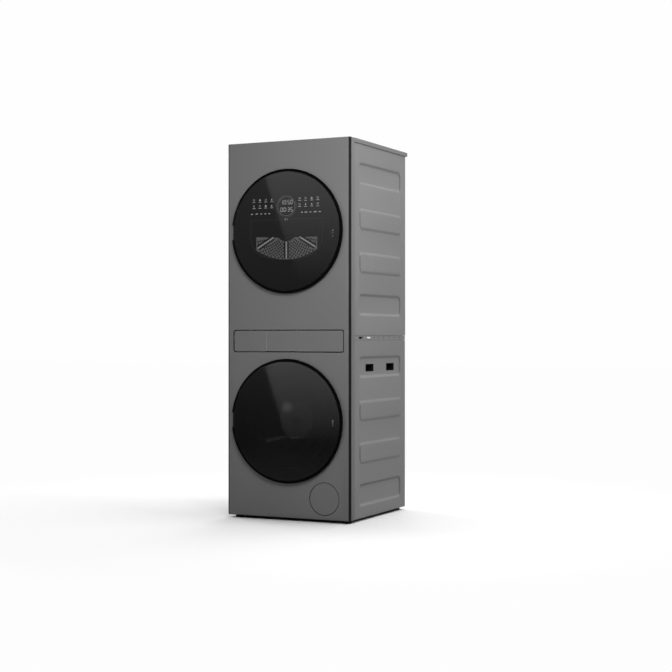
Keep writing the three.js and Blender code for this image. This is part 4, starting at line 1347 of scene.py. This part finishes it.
def build_dryer_inside():
    """Bulkhead, drum, its three lifters and the shaft behind it."""
    build_bulkhead()
    build_drum("dryer", DRYER, 0.262, 0.222, 0.4)
    lifter = fillet([(0.2575, -0.024), (0.2575, 0.024), (0.219, 0.009), (0.219, -0.009)],
                    [0, 0, 0.008, 0.008])
    for k in range(3):
        angle = math.pi * (0.5 + 2 * k / 3)
        rib = prism(f"dryer_lifter_{k + 1}", lifter, -0.215, 0.155)
        rib.data.transform(Matrix.Translation((0, 0, DRYER.z)) @ Matrix.Rotation(-angle, 4, "Y"))
        soften(rib, 0.004, 3, 60)
        piece(rib, "dryer_drum_group", "grey_plastic")
    axle = rod_y("dryer_drum_shaft", 0, DRYER.z, 0.0125, 0.16, 0.214, 48)
    soften(axle, 0.001, 2)
    piece(axle, "dryer_drum_group", "zinc_steel")


SOFT_EDGES = {
    0.0005: ("display_module",), 0.0006: ("base_plate", "middle_deck"),
    0.0008: ("washer_hinge", "dryer_hinge", "lint_filter"), 0.001: ("washer_door_lock", "dryer_door_lock"),
    0.0015: ("drain_pump",), 0.002: ("washer_motor", "dryer_motor"), 0.003: ("compressor",),
    0.006: ("washer_lifter_1", "washer_lifter_2", "washer_lifter_3"),
}


def dress_cad_nodes():
    """Materials and softened edges for the CAD nodes that stay in view as they are."""
    slots = {row["node"]: row["material_slot"] for row in frame["record"]["subparts"]}
    for name, node in frame["nodes"].items():
        node.data.materials.clear()
        node.data.materials.append(MATERIALS[slots[name]])
    for width, names in SOFT_EDGES.items():
        for name in names:
            soften(frame["nodes"][name], width, 3, 40)


# ---- stage, light and camera ----


def stage_material(name):
    """A material with nothing in it but its output node."""
    material = bpy.data.materials.new(name)
    material.use_nodes = True
    material.node_tree.nodes.clear()
    return material, material.node_tree, add_node(material.node_tree, "OutputMaterial")


def grey(shade):
    return (shade, shade, shade, 1)


def stage_floor():
    """Floor that shows a soft shadow near the object and turns white farther out."""
    bpy.ops.mesh.primitive_plane_add(size=60, location=(0, 0, 0))
    floor = bpy.context.object
    floor.name = "studio_floor"
    material, tree, out = stage_material("studio_floor")
    near = add_node(tree, "BsdfDiffuse", {"Color": grey(0.58)})
    far = add_node(tree, "Emission", {"Color": grey(0.985)})
    place = add_node(tree, "TexCoord")
    length = add_node(tree, "VectorMath", operation="LENGTH")
    fade = add_node(tree, "MapRange", {"From Min": 0.6, "From Max": 2.2}, interpolation_type="SMOOTHSTEP")
    blend = add_node(tree, "MixShader")
    dim = add_node(tree, "BsdfDiffuse", {"Color": grey(0.16)})
    path = add_node(tree, "LightPath")
    pick = add_node(tree, "MixShader")
    wire(tree, (place, "Object", length, 0), (length, "Value", fade, "Value"),
         (fade, "Result", blend, "Fac"), (near, "BSDF", blend, 1), (far, "Emission", blend, 2),
         (path, "Is Camera Ray", pick, "Fac"), (dim, "BSDF", pick, 1), (blend, "Shader", pick, 2),
         (pick, "Shader", out, "Surface"))
    floor.data.materials.append(material)


def stage_world():
    """White to the camera, dim grey to everything else."""
    world = bpy.data.worlds.new("studio")
    bpy.context.scene.world = world
    world.use_nodes = True
    tree = world.node_tree
    path = add_node(tree, "LightPath")
    mix = add_node(tree, "Mix", {"A": grey(0.2), "B": grey(0.99)}, data_type="RGBA")
    wire(tree, (path, "Is Camera Ray", mix, "Factor"), (mix, "Result", tree.nodes["Background"], "Color"))


def softbox(name, location, target, size, energy, glossy=False):
    data = bpy.data.lights.new(name, "AREA")
    data.shape = "RECTANGLE"
    data.size = size
    data.size_y = size
    data.energy = energy
    lamp = link(name, data)
    lamp.location = location
    lamp.rotation_mode = "QUATERNION"
    lamp.rotation_quaternion = (Vector(target) - Vector(location)).to_track_quat("-Z", "Y")
    lamp.visible_camera = False
    lamp.visible_glossy = glossy


def glow_panel(name, outline, y, top, bottom=0.0):
    """Upright glowing sheet that only glossy surfaces see, brighter at its top than at its foot."""
    bm = bmesh.new()
    bm.faces.new([bm.verts.new((x, y, z)) for x, z in outline])
    sheet = from_bmesh(name, bm)
    heights = [z for x, z in outline]
    material, tree, out = stage_material(name)
    glow = add_node(tree, "Emission")
    place = add_node(tree, "TexCoord")
    parts = add_node(tree, "SeparateXYZ")
    span = {"From Min": min(heights), "From Max": max(heights), "To Min": bottom, "To Max": top}
    fade = add_node(tree, "MapRange", span)
    clear = add_node(tree, "BsdfTransparent")
    both = add_node(tree, "AddShader")
    wire(tree, (place, "Object", parts, 0), (parts, "Z", fade, "Value"), (fade, "Result", glow, "Strength"),
         (glow, "Emission", both, 0), (clear, "BSDF", both, 1), (both, "Shader", out, "Surface"))
    sheet.data.materials.append(material)
    sheet.visible_camera = False
    sheet.visible_diffuse = False
    sheet.visible_shadow = False
    sheet.visible_transmission = False


GLOW_Y = -3.0
GLOW_EDGE = 0.2  # where the glow ends on the right
UPPER = (1.15, 2.04)
LOWER = (0.12, 0.743)


def light_stage():
    """Glow panels for the sheen on the glass, and soft lamps all round."""
    glow_panel("glow_upper", [(-1.636, UPPER[1]), (GLOW_EDGE, UPPER[1]), (GLOW_EDGE, UPPER[0]),
                              (-1.308, UPPER[0])], GLOW_Y, 1.28)
    glow_panel("glow_lower", [(-1.605, LOWER[1]), (GLOW_EDGE, LOWER[1]), (GLOW_EDGE, LOWER[0]),
                              (-1.391, LOWER[0])], GLOW_Y, 1.35)
    base_y = GLOW_Y - 0.02
    glow_panel("glow_base_upper", rectangle(-3.4, GLOW_EDGE, 1.0, UPPER[1]), base_y, 0.36)
    glow_panel("glow_base_lower", rectangle(-3.4, GLOW_EDGE, 0.1, LOWER[1]), base_y, 0.3)
    glow_panel("glow_spot", circle(-1.388, 0.344, 0.034, 24), GLOW_Y + 0.02, 0.75, 0.75)
    softbox("overhead", (0.0, 1.5, 4.4), (0, 0.3, 0.4), 3.8, 180)
    softbox("right_key", (3.3, 0.3, 3.3), (0, 0, 1.4), 2.2, 122)
    softbox("front_key", (1.15, -1.9, 1.95), (0, -0.3, 1.25), 1.2, 46)
    softbox("drum_light", (0, -0.19, WASHER.z + 0.12), (0, 0.1, WASHER.z - 0.05), 0.05, 1.0)
    softbox("left_fill", (-4.2, 1.0, 2.6), (0, 0, 1.0), 2.6, 160, glossy=True)
    softbox("rear_fill", (-1.0, 4.2, 2.6), (0, 0, 1.0), 2.4, 90, glossy=True)


def set_camera():
    data = bpy.data.cameras.new("camera")
    camera = link("camera", data)
    data.sensor_width = 36
    data.lens = 76.29
    camera.location = (2.858, -5.759, 0.799)
    aim = Vector((-0.43353, 0.90114, 0.0))
    camera.rotation_mode = "QUATERNION"
    camera.rotation_quaternion = aim.to_track_quat("-Z", "Y")
    bpy.context.scene.camera = camera
    bpy.context.scene.view_settings.view_transform = "Standard"


set_camera()
dress_cad_nodes()
build_front_panel()
build_sides()
build_top_cover()
build_feet()
build_back("washer", WASHER.z, 0.18)
build_back("dryer", DRYER.z, 0.15)
build_connections()
build_band()
build_flap()
build_door("washer", WASHER)
build_washer_border()
build_door("dryer", DRYER)
build_washer_bowl()
build_dryer_window()
build_display()
build_dryer_liner()
build_washer_inside()
build_dryer_inside()
stage_floor()
stage_world()
light_stage()
